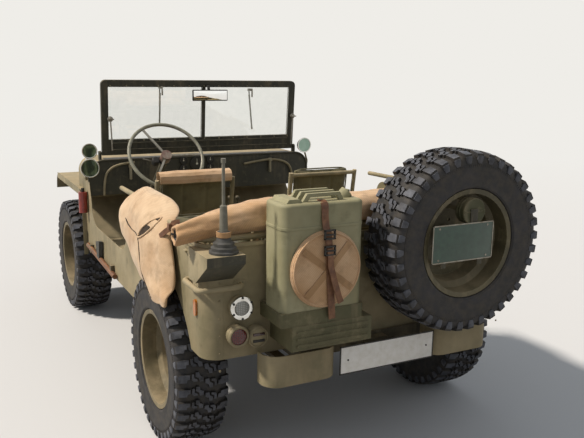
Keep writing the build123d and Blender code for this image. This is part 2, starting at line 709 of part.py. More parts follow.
def make_rear_panel():
    """Flat back of the tub between the corner seams."""
    panel = block(TUB_BACK, TUB_BACK + SHEET, -REAR_SEAM_Y, REAR_SEAM_Y, TUB_BOTTOM, TUB_RAIL)
    panel -= block(TUB_BACK - 1, TUB_BACK + SHEET + 1, -RAIL_OUT - 1, RAIL_OUT + 1, TUB_BOTTOM - 1,
                   FRAME_TOP)
    panel += block(TUB_BACK - RAIL_LIP, TUB_BACK, -REAR_SEAM_Y, REAR_SEAM_Y, TUB_RAIL - RAIL_LIP_HIGH,
                   TUB_RAIL)
    return panel


def corner_trim():
    """What a floor piece loses at the tub's rounded rear corner."""
    inside = TUB_HALF - SHEET
    back = TUB_BACK + SHEET
    corner = CORNER_R - SHEET
    trim = block(back - 5, back + corner, inside - corner, inside + 5, FRAME_TOP - 5, BOX_TOP + 5)
    return trim - Pos(back + corner, inside - corner, FRAME_TOP - 10) * Cylinder(
        corner, BOX_TOP, align=(Align.CENTER, Align.CENTER, Align.MIN))


def make_floor():
    """Flat floor between the wheel boxes, with the brackets that the tipping seat turns on."""
    inside = TUB_HALF - SHEET
    back = TUB_BACK + SHEET
    top = FRAME_TOP + FLOOR_T
    floor = block(back, TOE_FOOT, -inside, inside, FRAME_TOP, top)
    floor -= both(block(back - 1, BOX_FRONT, BOX_INNER, inside + 1, FRAME_TOP - 1, top + 1))
    floor -= block(TUNNEL_BACK, TOE_FOOT + 1, -TUNNEL_HALF - TUNNEL_OFFSET, TUNNEL_HALF, FRAME_TOP - 1,
                   top + 1)
    for side in (-1, 1):
        floor += seat_bracket(TIP_SEAT_Y + side * (SEAT_HALF - SEAT_TUBE_R))
    return floor


def make_wheel_boxes():
    """Sheet boxes over the rear wheels, open to the side panels."""
    inside = TUB_HALF - SHEET
    back = TUB_BACK + SHEET
    wheel_box = block(back, BOX_FRONT, BOX_INNER, inside, FRAME_TOP, BOX_TOP)
    wheel_box -= block(back - 1, BOX_FRONT - SHEET, BOX_INNER + SHEET, inside + 1, FRAME_TOP - 1,
                       BOX_TOP - SHEET)
    return both(wheel_box - corner_trim())


def tunnel_hump(inset):
    """Section of the gearbox tunnel as (y, z), shrunk by the sheet's thickness."""
    low = FRAME_TOP - (1 if inset else 0)
    top = TUNNEL_TOP - inset
    return [(-TUNNEL_HALF - TUNNEL_OFFSET + inset, low), (TUNNEL_HALF - inset, low),
            (TUNNEL_HALF - 40 - inset, top), (-TUNNEL_HALF - 20 + inset, top)]


def make_tunnel():
    """Gearbox tunnel along the floor, closed at the back."""
    end = FIREWALL - SHEET
    return prism_x(tunnel_hump(0), TUNNEL_BACK, end) - prism_x(tunnel_hump(FLOOR_T), TUNNEL_BACK + FLOOR_T,
                                                               end + 1)


def make_toe_board():
    """Sloping board from the floor up to the firewall, cut round the tunnel and the steering column."""
    inside = TUB_HALF - SHEET
    end, t = FIREWALL - SHEET, FLOOR_T
    board = prism_y([(TOE_FOOT, FRAME_TOP), (end, TOE_TOP), (end, TOE_TOP + 1.5 * t),
                     (TOE_FOOT, FRAME_TOP + t)],
                    -inside, inside)
    board -= prism_x(tunnel_hump(0), TOE_FOOT - 1, end + 1)
    board -= Pos(*column_point(785)) * column_turn() * Cylinder(COLUMN_R + 8, 160)
    return board


def seat_bracket(y):
    """Floor bracket of two ears and a pin that a leg of the tipping seat turns on."""
    x = SEAT_FRONT_X - 20
    bracket = rod((x, y - 24, SEAT_PIN_Z), (x, y + 24, SEAT_PIN_Z), SEAT_PIN_R)
    for side in (-1, 1):
        inner, outer = sorted((y + side * 18, y + side * 24))
        bracket += block(x - 12, x + 12, inner, outer, FLOOR_Z, SEAT_PIN_Z + 10)
    return bracket


def cowl_outline(inset):
    """Rounded section of the cowl above the belt, as (y, z) edges."""
    half = TUB_HALF - inset
    top = COWL_TOP - inset
    r = SHOULDER_R - inset
    k = math.sqrt(0.5)
    cy, cz = half - r, top - r
    low = BELT_Z
    edges = [
        Line((-half, low), (half, low)),
        Line((half, low), (half, cz)),
        ThreePointArc((half, cz), (cy + r * k, cz + r * k), (cy, top)),
        Line((cy, top), (-cy, top)),
        ThreePointArc((-cy, top), (-cy - r * k, cz + r * k), (-half, cz)),
        Line((-half, cz), (-half, low)),
    ]
    return make_face(Wire(edges))


def along_x(face, x0, x1):
    """A face drawn as (y, z), made solid from x0 to x1."""
    stand = Plane(origin=(x0, 0, 0), x_dir=(0, 1, 0), z_dir=(1, 0, 0))
    return extrude(stand * face, x1 - x0)


def make_cowl():
    """Rounded cowl with the dash on its back and the firewall on its front."""
    cowl = along_x(cowl_outline(0), COWL_BACK, FIREWALL)
    cowl -= along_x(cowl_outline(SHEET), COWL_BACK + SHEET, FIREWALL - SHEET)
    cowl -= along_x(cowl_outline(SHEET), COWL_BACK - 1, COWL_BACK + SHEET + 1)
    inside = TUB_HALF - SHEET
    dash = along_x(cowl_outline(SHEET), COWL_BACK, COWL_BACK + SHEET)
    dash += block(COWL_BACK, COWL_BACK + SHEET, -inside, inside, COWL_TOP - DASH_DEEP, BELT_Z)
    cowl += dash
    wall_low = TOE_TOP + 1.5 * FLOOR_T
    cowl += block(FIREWALL - SHEET, FIREWALL, -inside, inside, wall_low, BELT_Z + 1)
    for y in (-HOOD_HINGE_Y, HOOD_HINGE_Y):
        lug = block(FIREWALL - 20, FIREWALL, y - 12, y + 12, COWL_TOP - 2, HOOD_PIN_Z)
        cowl += lug + rod((HOOD_PIN_X, y - 12, HOOD_PIN_Z), (HOOD_PIN_X, y + 12, HOOD_PIN_Z),
                          HOOD_KNUCKLE_R)
        cowl += rod((HOOD_PIN_X, y - 36, HOOD_PIN_Z), (HOOD_PIN_X, y + 36, HOOD_PIN_Z), HOOD_PIN_R)
    for side in (1, -1):
        y = side * SCREEN_PIVOT_Y
        ear = block(SCREEN_X - 16, SCREEN_X + 16, y - 7, y + 7, COWL_TOP - 12, SCREEN_PIVOT_Z)
        ear += rod((SCREEN_X, y - 7, SCREEN_PIVOT_Z), (SCREEN_X, y + 7, SCREEN_PIVOT_Z), 16)
        pin_in = y - side * 26
        ear += rod((SCREEN_X, y, SCREEN_PIVOT_Z), (SCREEN_X, pin_in, SCREEN_PIVOT_Z), PIVOT_R)
        cowl += ear
    half, top = TUB_HALF - SHEET / 2, COWL_TOP - SHEET / 2
    cowl += bent_tube([(COWL_BACK, half, BELT_Z), (COWL_BACK, half, top), (COWL_BACK, -half, top),
                       (COWL_BACK, -half, BELT_Z)], COWL_BEAD_R, SHOULDER_R - SHEET / 2)
    return cowl


# Nose

def hood_section(x, half, top, inset):
    """Section of the hood at x: skirts, rounded shoulders and a flat top, open below."""
    low = FENDER_TOP + MOVE_GAP - (1 if inset else 0)
    h, t = half - inset, top - inset
    r = HOOD_SHOULDER - inset
    k = math.sqrt(0.5)
    cy, cz = h - r, t - r
    edges = [
        Line((-h, low), (h, low)),
        Line((h, low), (h, cz)),
        ThreePointArc((h, cz), (cy + r * k, cz + r * k), (cy, t)),
        Line((cy, t), (-cy, t)),
        ThreePointArc((-cy, t), (-cy - r * k, cz + r * k), (-h, cz)),
        Line((-h, cz), (-h, low)),
    ]
    stand = Plane(origin=(x, 0, 0), x_dir=(0, 1, 0), z_dir=(1, 0, 0))
    return stand * make_face(Wire(edges))


def hood_loft(inset, past):
    """Solid tapering hood, shrunk by inset and carried past both ends."""
    length = HOOD_FRONT - HOOD_BACK
    taper = (HOOD_FRONT_HALF - HOOD_BACK_HALF) / length
    fall = (HOOD_FRONT_TOP - HOOD_BACK_TOP) / length
    back = hood_section(HOOD_BACK - past, HOOD_BACK_HALF - past * taper, HOOD_BACK_TOP - past * fall, inset)
    front = hood_section(HOOD_FRONT + past, HOOD_FRONT_HALF + past * taper, HOOD_FRONT_TOP + past * fall,
                         inset)
    return loft([back, front])


def make_hood():
    hood = hood_loft(0, 0) - hood_loft(HOOD_WALL, 2)
    for y in (-HOOD_HINGE_Y, HOOD_HINGE_Y):
        for end in (-1, 1):
            place = y + end * 26
            leaf = block(HOOD_PIN_X, HOOD_BACK + 60, place - 11, place + 11, HOOD_PIN_Z - 5, HOOD_PIN_Z - 1)
            step = block(HOOD_BACK + 20, HOOD_BACK + 60, place - 11, place + 11, HOOD_BACK_TOP - 6,
                         HOOD_PIN_Z - 1)
            knuckle = rod((HOOD_PIN_X, place - 11, HOOD_PIN_Z), (HOOD_PIN_X, place + 11, HOOD_PIN_Z),
                          HOOD_KNUCKLE_R)
            hood += leaf + step + knuckle
        hood -= rod((HOOD_PIN_X, y - 40, HOOD_PIN_Z), (HOOD_PIN_X, y + 40, HOOD_PIN_Z),
                    HOOD_PIN_R + RUN_CLEAR)
    return hood


def make_fenders():
    """Flat-topped fenders that curve down in front and drop behind the wheel, with their inner aprons."""
    t = SHEET
    inner_y = HOOD_FRONT_HALF + 10
    path = [(FENDER_TAIL_X, FENDER_TAIL_Z), (FENDER_TAIL_X + 22, FENDER_TOP), (FENDER_FRONT, FENDER_TOP),
            (FENDER_FRONT + 16, FENDER_NOSE_Z)]
    under = [(x + (t if n < 2 else -t), z - (t if 0 < n < 3 else 0)) for n, (x, z) in enumerate(path)]
    upper_line = FilletPolyline(*[(x, inner_y, z) for x, z in path], radius=FENDER_BEND)
    under_line = FilletPolyline(*[(x, inner_y, z) for x, z in reversed(under)], radius=FENDER_BEND - t)
    ring = [*upper_line.edges(), Line(upper_line @ 1, under_line @ 0), *under_line.edges(),
            Line(under_line @ 1, upper_line @ 0)]
    fender = extrude(make_face(Wire(ring)), amount=FENDER_OUT - inner_y, dir=(0, 1, 0))
    lip = [(FENDER_TAIL_X + 60, FENDER_TOP - FENDER_LIP), (FENDER_FRONT - 40, FENDER_TOP - FENDER_LIP),
           (FENDER_FRONT - 40, FENDER_TOP - t), (FENDER_TAIL_X + 60, FENDER_TOP - t)]
    fender += prism_y(lip, FENDER_OUT - t, FENDER_OUT)
    fender -= block(FENDER_TAIL_X - 9, FIREWALL, 0, TUB_HALF, 0, COWL_TOP)
    fender += block(FIREWALL, GRILLE_X, inner_y, inner_y + t, APRON_LOW, FENDER_TOP - t)
    return both(fender)


def make_grille():
    """Upright slotted grille with a hole for each headlamp."""
    half = HOOD_FRONT_HALF
    low_half = 330
    front = GRILLE_X + GRILLE_T
    foot = FRAME_TOP + RADIATOR_FOOT
    plate = prism_x([(-low_half, foot), (low_half, foot), (half, FRAME_TOP + 220), (half, HOOD_FRONT_TOP),
                     (-half, HOOD_FRONT_TOP), (-half, FRAME_TOP + 220)], GRILLE_X, front)
    plate = fillet(plate.edges().filter_by(Axis.X).sort_by(Axis.Z)[-2:], HOOD_SHOULDER)
    for n in range(GRILLE_SLOTS):
        y = (n - (GRILLE_SLOTS - 1) / 2) * SLOT_PITCH
        slot = block(GRILLE_X - 1, front + 1, y - SLOT_WIDTH / 2, y + SLOT_WIDTH / 2, SLOT_LOW, SLOT_HIGH)
        plate -= fillet(slot.edges().filter_by(Axis.X), SLOT_WIDTH / 2 - 1)
    for side in (1, -1):
        plate -= rod((GRILLE_X - 1, side * LAMP_Y, LAMP_Z), (front + 1, side * LAMP_Y, LAMP_Z), LAMP_R)
    return plate


def make_lamps():
    """Headlamps, the rear lamps with their rims and lenses, and the side reflector."""
    head = turned([(-60, 0), (-52, 30), (-10, LAMP_R - SEAT_GAP), (4, LAMP_R - SEAT_GAP), (10, 60),
                   (13, 0)],
                  (GRILLE_X, LAMP_Y, LAMP_Z), (1, 0, 0))
    lamps = both(head)
    for y, rise, radius, depth in REAR_LAMPS:
        section = [(0, 0), (0, radius * 0.9), (depth * 0.4, radius * 0.9), (depth * 0.46, radius),
                   (depth * 0.76, radius), (depth * 0.86, radius * 0.86), (depth * 0.76, radius * 0.78),
                   (depth * 0.93, radius * 0.45), (depth, 0)]
        lamps += turned(section, (TUB_BACK, y, FRAME_TOP + rise), (-1, 0, 0))
    oval = SlotOverall(66, 26).face()
    stand = Plane(origin=(TUB_BACK + CORNER_R + 16, TUB_HALF, FRAME_TOP + 178), x_dir=(0, 0, 1),
                  z_dir=(0, 1, 0))
    return lamps + extrude(stand * oval, 9)


# Rear lamps: sideways place, height above the frame, radius, depth
REAR_LAMPS = [
    (614, 195, 46, 36),
    (631, 86, 41, 46),
    (549, 72, 41, 42),
    (-549, 72, 41, 42),
    (-631, 86, 41, 46),
]


# Windshield

def screen_place(shape):
    """Lean a piece that was modelled upright about the windshield's pivot."""
    return Pos(SCREEN_X, 0, SCREEN_PIVOT_Z) * Rot(0, -SCREEN_LEAN, 0) * Pos(-SCREEN_X, 0,
                                                                            -SCREEN_PIVOT_Z) * shape


def make_screen_frame():
    """Windshield frame with two openings and the bores that its pivot pins turn in."""
    x0, x1 = SCREEN_X - SCREEN_THICK / 2, SCREEN_X + SCREEN_THICK / 2
    h = SCREEN_HALF
    frame = block(x0, x1, -h, h, SCREEN_FOOT_Z, SCREEN_TOP_Z)
    frame = fillet(frame.edges().filter_by(Axis.X).sort_by(Axis.Z)[-2:], 30)
    for y0, y1 in glass_spans():
        frame -= block(x0 - 1, x1 + 1, y0, y1, SCREEN_FOOT_Z + SCREEN_LOWER, SCREEN_TOP_Z - SCREEN_BAR)
    for side in (1, -1):
        end = side * (SCREEN_PIVOT_Y - 8)
        frame -= rod((SCREEN_X, side * 600, SCREEN_PIVOT_Z), (SCREEN_X, end, SCREEN_PIVOT_Z),
                     PIVOT_R + RUN_CLEAR)
    return screen_place(frame)


def glass_spans():
    """Sideways extent of each pane."""
    inner = SCREEN_HALF - SCREEN_BAR
    return [(-inner, -DIVIDER / 2), (DIVIDER / 2, inner)]


def make_glass():
    """The two panes."""
    x0, x1 = SCREEN_X - GLASS_T / 2, SCREEN_X + GLASS_T / 2
    panes = [block(x0, x1, y0 + SEAT_GAP, y1 - SEAT_GAP, SCREEN_FOOT_Z + SCREEN_LOWER + SEAT_GAP,
                   SCREEN_TOP_Z - SCREEN_BAR - SEAT_GAP) for y0, y1 in glass_spans()]
    return screen_place(panes[0] + panes[1])


# Driver's place

def column_dir():
    """Direction down the steering column."""
    a = math.radians(COLUMN_ANGLE)
    return Vector(math.cos(a), 0, -math.sin(a))


def column_point(distance):
    """A point on the steering column, measured down from the middle of the wheel."""
    p = Vector(WHEEL_X, WHEEL_Y, WHEEL_Z) + column_dir() * distance
    return (p.X, p.Y, p.Z)


def column_turn():
    """Turn that lays an upright cylinder along the steering column."""
    return Rot(0, 90 + COLUMN_ANGLE, 0)


def make_column():
    """Steering column with its shaft and the steering box on the rail."""
    column = rod(column_point(70), column_point(COLUMN_LONG), COLUMN_R)
    column += rod(column_point(10), column_point(70), STEER_SHAFT_R)
    end = column_point(COLUMN_LONG)
    column += block(end[0] - 50, end[0] + 40, RAIL_OUT, WHEEL_Y + 32, end[2] - 40, end[2] + 40)
    return column


def make_controls():
    """Gear lever and the two transfer levers on the tunnel, and two pedals on the toe board."""
    controls = None
    for x, y, head_x, head_y, rise, knob in LEVERS:
        head_z = FRAME_TOP + rise
        lever = rod((x, y, TUNNEL_TOP), (x, y, TUNNEL_TOP + 12), 24)
        lever += rod((x, y, TUNNEL_TOP + 6), (head_x, head_y, head_z), 7) + Pos(head_x, head_y,
                                                                                head_z) * Sphere(knob)
        controls = lever if controls is None else controls + lever
    for y in PEDALS:
        controls += pedal(y)
    return controls


def pedal(y):
    """A pedal pad on its arm, square to the toe board."""
    rise, run = TOE_TOP - FRAME_TOP, FIREWALL - SHEET - TOE_FOOT
    angle = math.atan2(rise + FLOOR_T / 2, run)
    foot = Vector(TOE_FOOT, y, FRAME_TOP + FLOOR_T) + Vector(math.cos(angle), 0, math.sin(angle)) * 150
    up = Vector(-math.sin(angle), 0, math.cos(angle))
    arm = rod(tuple(foot + up * SEAT_GAP), tuple(foot + up * 105), 8)
    pad = Plane(origin=foot + up * 105, x_dir=(0, 1, 0), z_dir=up) * Box(60, 70, 8)
    return arm + pad


# Levers: foot along and across the car, then the knob's place, its height above the frame, and its radius
LEVERS = [
    (1260, 0, 1150, 30, 340, 20),
    (1240, -60, 1210, -62, 280, 14),
    (1240, -110, 1212, -114, 276, 14),
]
PEDALS = [330, 490]


def make_steering_wheel():
    """Hub, three thin spokes and rim, turning on the steering shaft."""
    face = Plane(origin=(WHEEL_X, WHEEL_Y, WHEEL_Z), z_dir=-column_dir()).location
    reach = WHEEL_R - WHEEL_RIM_R
    wheel = face * Torus(reach, WHEEL_RIM_R)
    for n in range(3):
        wheel += face * Rot(0, 0, 90 + n * 120) * Pos(reach / 2, 0, 0) * Box(reach - 4, 12, 7)
    wheel += face * Pos(0, 0, -16) * Cylinder(30, 52)
    wheel -= face * Pos(0, 0, -60) * Cylinder(STEER_SHAFT_R + RUN_CLEAR, 100)
    return wheel


# Seats

def leaning_pad(x, low, lean, depth, half, y, foot, top):
    """Back pad against a back frame that starts at (x, low) and leans back by lean degrees."""
    face = x + SEAT_TUBE_R + SEAT_GAP
    pad = fillet(block(face, face + depth, y - half, y + half, foot, top).edges(), 14)
    return Pos(x, 0, low) * Rot(0, -lean, 0) * Pos(-x, 0, -low) * pad


def back_lean(drop, rise):
    """Degrees that a back leans when it drops back over a rise."""
    return math.degrees(math.atan2(drop, rise))


def seat_frame(y, tips):
    """Tube frame of a front seat: two side loops tied by cross tubes. One that tips ends in front eyes."""
    r = SEAT_TUBE_R
    low = SEAT_LOW - r
    front, back = SEAT_FRONT_X - 20, SEAT_BACK_X - 30
    rise = BACK_TOP - 20 - low
    foot = SEAT_PIN_Z if tips else FLOOR_Z
    frame = None
    for side in (-1, 1):
        s = y + side * (SEAT_HALF - r)
        loop = bent_tube([(front, s, foot), (front, s, low), (back, s, low),
                          (back - BACK_LEAN, s, BACK_TOP - 20)], r, 60)
        loop += rod((SEAT_BACK_X + 30, s, FLOOR_Z), (SEAT_BACK_X + 30, s, low), r - 1)
        if tips:
            loop += rod((front, s - 13, SEAT_PIN_Z), (front, s + 13, SEAT_PIN_Z), 15)
            loop -= rod((front, s - 20, SEAT_PIN_Z), (front, s + 20, SEAT_PIN_Z), SEAT_PIN_R + RUN_CLEAR)
        frame = loop if frame is None else frame + loop
    inner = SEAT_HALF - r
    bar_up = rise - 14
    for x, z in ((front - 60, low), (SEAT_BACK_X + 60, low),
                 (back - BACK_LEAN * bar_up / rise, low + bar_up)):
        frame += rod((x, y - inner, z), (x, y + inner, z), r - 0.5)
    return frame


def seat_pads(y):
    """Seat cushion and back pad as plain closed solids."""
    low = SEAT_LOW - SEAT_TUBE_R
    cushion = block(SEAT_BACK_X + 20, SEAT_FRONT_X, y - SEAT_HALF, y + SEAT_HALF, SEAT_LOW + SEAT_GAP,
                    SEAT_HIGH)
    cushion = fillet(cushion.edges(), 14)
    lean = back_lean(BACK_LEAN, BACK_TOP - 20 - low)
    back = leaning_pad(SEAT_BACK_X - 30, low, lean, PAD, SEAT_HALF - 30, y, SEAT_HIGH + 20, BACK_TOP)
    return cushion + back


def make_rear_seat_frame():
    """Tube frame of the rear bench."""
    r = SEAT_TUBE_R
    low = SEAT_LOW - r
    reach = REAR_SEAT_HALF - 20
    frame = None
    for side in (-1, 1):
        s = side * reach
        loop = bent_tube([(90, s, FLOOR_Z), (90, s, low), (REAR_BACK_X, s, low),
                          (REAR_BACK_X - BACK_LEAN, s, REAR_BACK_TOP - 20)], r, 60)
        loop += rod((REAR_BACK_X + 60, s, FLOOR_Z), (REAR_BACK_X + 60, s, low), r - 1)
        frame = loop if frame is None else frame + loop
    rise = REAR_BACK_TOP - 20 - low
    bar_up = rise - 14
    for x, z in ((40, low), (REAR_BACK_X + 80, low),
                 (REAR_BACK_X - BACK_LEAN * bar_up / rise, low + bar_up)):
        frame += rod((x, -reach, z), (x, reach, z), r - 0.5)
    return frame


def make_rear_seat_pads():
    """Cushion and back pad of the rear bench."""
    low = SEAT_LOW - SEAT_TUBE_R
    cushion = block(REAR_BACK_X + 58, 110, -REAR_SEAT_HALF, REAR_SEAT_HALF, SEAT_LOW + SEAT_GAP,
                    SEAT_HIGH - 6)
    cushion = fillet(cushion.edges(), 14)
    lean = back_lean(BACK_LEAN, REAR_BACK_TOP - 20 - low)
    return cushion + leaning_pad(REAR_BACK_X, low, lean, PAD, REAR_SEAT_HALF - 50, 0, SEAT_HIGH + 14,
                                 REAR_BACK_TOP)


# Stowage

def can_block(grow, low, high, corner):
    """Upright block on the can's outline, grown sideways, with rounded upright corners."""
    half = CAN_WIDTH / 2 + grow
    shape = block(CAN_BACK - grow, CAN_BACK + CAN_DEEP + grow, CAN_Y - half, CAN_Y + half, low, high)
    return fillet(shape.edges().filter_by(Axis.Z), corner)


def make_jerry_can():
    """Pressed can with a bead round it, its shoulder block, three carrying bars and spout cap."""
    shoulder = CAN_FOOT + CAN_HIGH - CAN_SHOULDER
    can = can_block(0, CAN_FOOT, shoulder, CAN_CORNER)
    can = fillet(can.edges().group_by(Axis.Z)[-1], 13)
    can += can_block(1.8, shoulder - 96, shoulder - 86, CAN_CORNER + 1.8)
    middle = CAN_BACK + CAN_DEEP / 2
    left = CAN_Y + CAN_WIDTH / 2
    rise = prism_x([(left - 96, shoulder - 8), (left - 20, shoulder - 8), (left - 34, shoulder + 14),
                    (left - 78, shoulder + 14)], middle - 62, middle + 62, 6)
    can += rise
    top = CAN_FOOT + CAN_HIGH
    for n in (-1, 0, 1):
        x = middle + n * 46
        bar = prism_x([(CAN_Y - 96, shoulder - 6), (CAN_Y - 78, top), (CAN_Y + 60, top),
                       (CAN_Y + 84, shoulder - 6)],
                      x - 8, x + 8)
        bar -= prism_x([(CAN_Y - 74, shoulder), (CAN_Y - 64, top - 12), (CAN_Y + 47, top - 12),
                        (CAN_Y + 60, shoulder)], x - 9, x + 9)
        can += bar
    foot = CAN_Y - CAN_WIDTH / 2
    can += rod((middle, foot + 62, shoulder - 8), (middle, foot + 34, top - 12), 25)
    can += block(middle - 9, middle + 9, foot + 26, foot + 58, top - 16, top - 3)
    return can


def make_can_rack():
    """Tray with a rim that holds the can, on a ribbed box hung below it."""
    back = CAN_BACK - SEAT_GAP
    half = CAN_WIDTH / 2 + SEAT_GAP
    w = RACK_WALL
    rack = block(back - w, TUB_BACK, CAN_Y - half - w, CAN_Y + half + w, CAN_FOOT - w,
                 CAN_FOOT + RACK_HIGH - w)
    well = block(back, TUB_BACK - RAIL_LIP - CAN_GAP, CAN_Y - half, CAN_Y + half, CAN_FOOT,
                 CAN_FOOT + RACK_HIGH)
    rack -= fillet(well.edges().filter_by(Axis.Z), CAN_CORNER - 2)
    outer = rack.edges().filter_by(Axis.Z).group_by(Axis.X)[0]
    rack = fillet(outer, 14)
    y = CAN_Y - CHEST_SHIFT
    face = back - w - 6
    low = CAN_FOOT - w - CHEST_HIGH
    chest = block(face, TUB_BACK, y - half - 10, y + half - 10, low, CAN_FOOT - w)
    rack += fillet(chest.edges().filter_by(Axis.Y).sort_by(Axis.X)[:2], 6)
    for n in range(3):
        z = low + 16 + n * 26
        rib = block(face - 5, face + 1, y - half + 8, y + half - 28, z, z + 11)
        rack += fillet(rib.edges().filter_by(Axis.X), 5)
    return rack


def make_carrier():
    """Bracket on the back of the tub that the spare wheel bolts to."""
    disc_x = SPARE_X + DISC_INSET
    carrier = rod((disc_x, SPARE_Y, SPARE_Z), (disc_x + 8, SPARE_Y, SPARE_Z), CARRIER_R)
    carrier += block(disc_x + 8, TUB_BACK, SPARE_Y - 70, SPARE_Y + 70, SPARE_Z - 80,
                     TUB_RAIL - RAIL_LIP_HIGH - 1)
    carrier += rod((disc_x, SPARE_Y, SPARE_Z), (disc_x - 24, SPARE_Y, SPARE_Z), HUB_R - SEAT_GAP)
    return carrier


def make_tags():
    """Blank plates: one with its small lamp in front of the spare wheel, one between the bumperettes."""
    disc_x = SPARE_X + DISC_INSET - 24
    back = TAG_X - PLATE_T
    high = SPARE_Z + 16 + REAR_TAG_HIGH / 2
    tag = block(back, TAG_X, REAR_TAG_Y - REAR_TAG_WIDTH / 2, REAR_TAG_Y + REAR_TAG_WIDTH / 2,
                high - REAR_TAG_HIGH, high)
    tag = fillet(tag.edges().filter_by(Axis.X), 12)
    tag += rod((disc_x, SPARE_Y, SPARE_Z), (TAG_X, SPARE_Y, SPARE_Z), 14)
    for y in (REAR_TAG_Y - 90, REAR_TAG_Y + 90):
        tag += block(back, TAG_X, y - 14, y + 14, high - REAR_TAG_HIGH - 22, high - REAR_TAG_HIGH)
    lamp_z = SPARE_Z + BEAD_R - 16 - TAG_LAMP_R
    tag += block(back, TAG_X, SPARE_Y - 18, SPARE_Y + 18, high, lamp_z + 20)
    tag += rod((TAG_X, SPARE_Y, lamp_z), (TAG_X + TAG_LAMP_DEEP, SPARE_Y, lamp_z), TAG_LAMP_R)
    x = BUMPERETTE_BACK
    middle = (BUMPERETTE_LOW + BUMPERETTE_HIGH) / 2
    low = block(x - PLATE_T, x, -LOW_TAG_WIDTH / 2, LOW_TAG_WIDTH / 2, middle - LOW_TAG_HIGH / 2,
                middle + LOW_TAG_HIGH / 2)
    for side in (1, -1):
        low += block(x, RAIL_REAR, side * 100 - 10, side * 100 + 10, FRAME_TOP - 60, FRAME_TOP - 48)
    return tag + low


def make_antenna():
    """Whip aerial on its stepped rubber base and the bracket that wraps the tub's corner."""
    z = FRAME_TOP + 425
    x = TUB_BACK - RAIL_LIP - AERIAL_FOOT_R - 1
    back = x - AERIAL_FOOT_R - 4
    y = REAR_SEAM_Y + 24
    side = TUB_BACK + CORNER_R
    bracket = prism_y([(side, z - 122), (side, z), (back, z), (back, z - 34), (TUB_BACK, z - 122)],
                      y - 62, TUB_HALF + 34)
    core = block(TUB_BACK, side + 60, -100, TUB_HALF, z - 200, z + 50)
    bracket -= fillet(core.edges().filter_by(Axis.Z).group_by(Axis.X)[0].sort_by(Axis.Y)[-1], CORNER_R)
    base = turned(AERIAL, (x, y, z), (0, 0, 1))
    return bracket + base


AERIAL_FOOT_R = 54.0
# Section of the aerial and its base: height above the bracket, radius
AERIAL = [(0, 0), (0, AERIAL_FOOT_R), (8, AERIAL_FOOT_R), (12, 47), (22, 47), (27, 39), (38, 39), (44, 29),
          (58, 24),
          (60, 27), (78, 27), (80, 16), (172, 13), (176, 6), (326, 6), (326, 9), (342, 9), (342, 0)]


def make_handles():
    """Tubular grab handles round the rear corners, each with a flattened foot on the back panel."""
    out = TUB_HALF + HANDLE_OUT
    back = TUB_BACK - HANDLE_OUT
    start = TUB_BACK + CORNER_R + 66
    end = REAR_SEAM_Y - 64
    corner = bent_tube([(start, TUB_HALF, HANDLE_Z), (start, out, HANDLE_Z), (back, out, HANDLE_Z),
                        (back, end, HANDLE_Z), (TUB_BACK, end, HANDLE_Z)], HANDLE_R, 20)
    corner += block(TUB_BACK - 5, TUB_BACK, end - 22, end + 22, HANDLE_Z - 17, HANDLE_Z + 17)
    return both(corner)


def make_mirrors():
    """Round mirrors on bent stalks at the back of the cowl: one on the right, two on the left."""
    mirrors = None
    foot, back = COWL_BACK + 30, COWL_BACK - 22
    low = FRAME_TOP + 405
    near = TUB_HALF + STALK_OUT
    for side, elbow, top, out, heads in MIRRORS:
        stalk = rod((foot, side * TUB_HALF, low), (foot, side * (near + 3), low), 12)
        stalk += bent_tube([(foot, side * near, low), (foot - elbow, side * near, low + 47),
                            (back, side * top, FRAME_TOP + heads[-1][0])], 6, 24)
        for rise, radius in heads:
            z = FRAME_TOP + rise
            cup = turned([(0, 0), (0, radius), (20, radius * 0.93), (34, radius * 0.55), (38, 0)],
                         (COWL_BACK - 46, side * out, z), (1, 0, 0))
            stalk += cup
        mirrors = stalk if mirrors is None else mirrors + stalk
    return mirrors


STALK_OUT = 14.0
# Mirrors: side, elbow behind the stalk's foot, top of the stalk outward, heads outward, then the heads, lowest
# first: height above the frame and radius
MIRRORS = [
    (-1, 10, 706, 706, [(568, 50)]),
    (1, 52, TUB_HALF + STALK_OUT, 749, [(476, 56), (580, 45)]),
]


def make_side_tools():
    """Axe on the left side under the door, with the small extinguisher ahead of it."""
    y = TUB_HALF + 16
    low = SILL_BOTTOM + 25
    front = COWL_BACK + 20
    tools = rod((820, y, low), (front, y, low + 26), 14)
    tools += prism_y([(1160, low + 4), (1204, low + 4), (1232, low + 108), (1140, low + 124)], y - 11,
                     y + 11)
    for x in (900, front - 80):
        tools += block(x - 13, x + 13, TUB_HALF, y + 6, low - 6, low + 44)
    canister = rod((COWL_BACK + 60, TUB_HALF + 28.5, FRAME_TOP + 190),
                   (COWL_BACK + 60, TUB_HALF + 28.5, FRAME_TOP + 318), 27)
    canister += rod((COWL_BACK + 60, TUB_HALF + 28.5, FRAME_TOP + 318),
                    (COWL_BACK + 60, TUB_HALF + 28.5, FRAME_TOP + 342), 10)
    canister += block(COWL_BACK + 45, COWL_BACK + 75, TUB_HALF, TUB_HALF + 8, FRAME_TOP + 235,
                      FRAME_TOP + 275)
    return tools + canister


def make_bows():
    """Folded top bow lying on the rail round the back of the tub."""
    z = TUB_RAIL + SEAT_TUBE_R + SEAT_GAP
    side = TUB_HALF + 3
    return bent_tube([(430, side, z), (BOW_BACK, side, z), (BOW_BACK, -side, z), (430, -side, z)],
                     SEAT_TUBE_R, CORNER_R)


BOW_BACK = TUB_BACK + 30


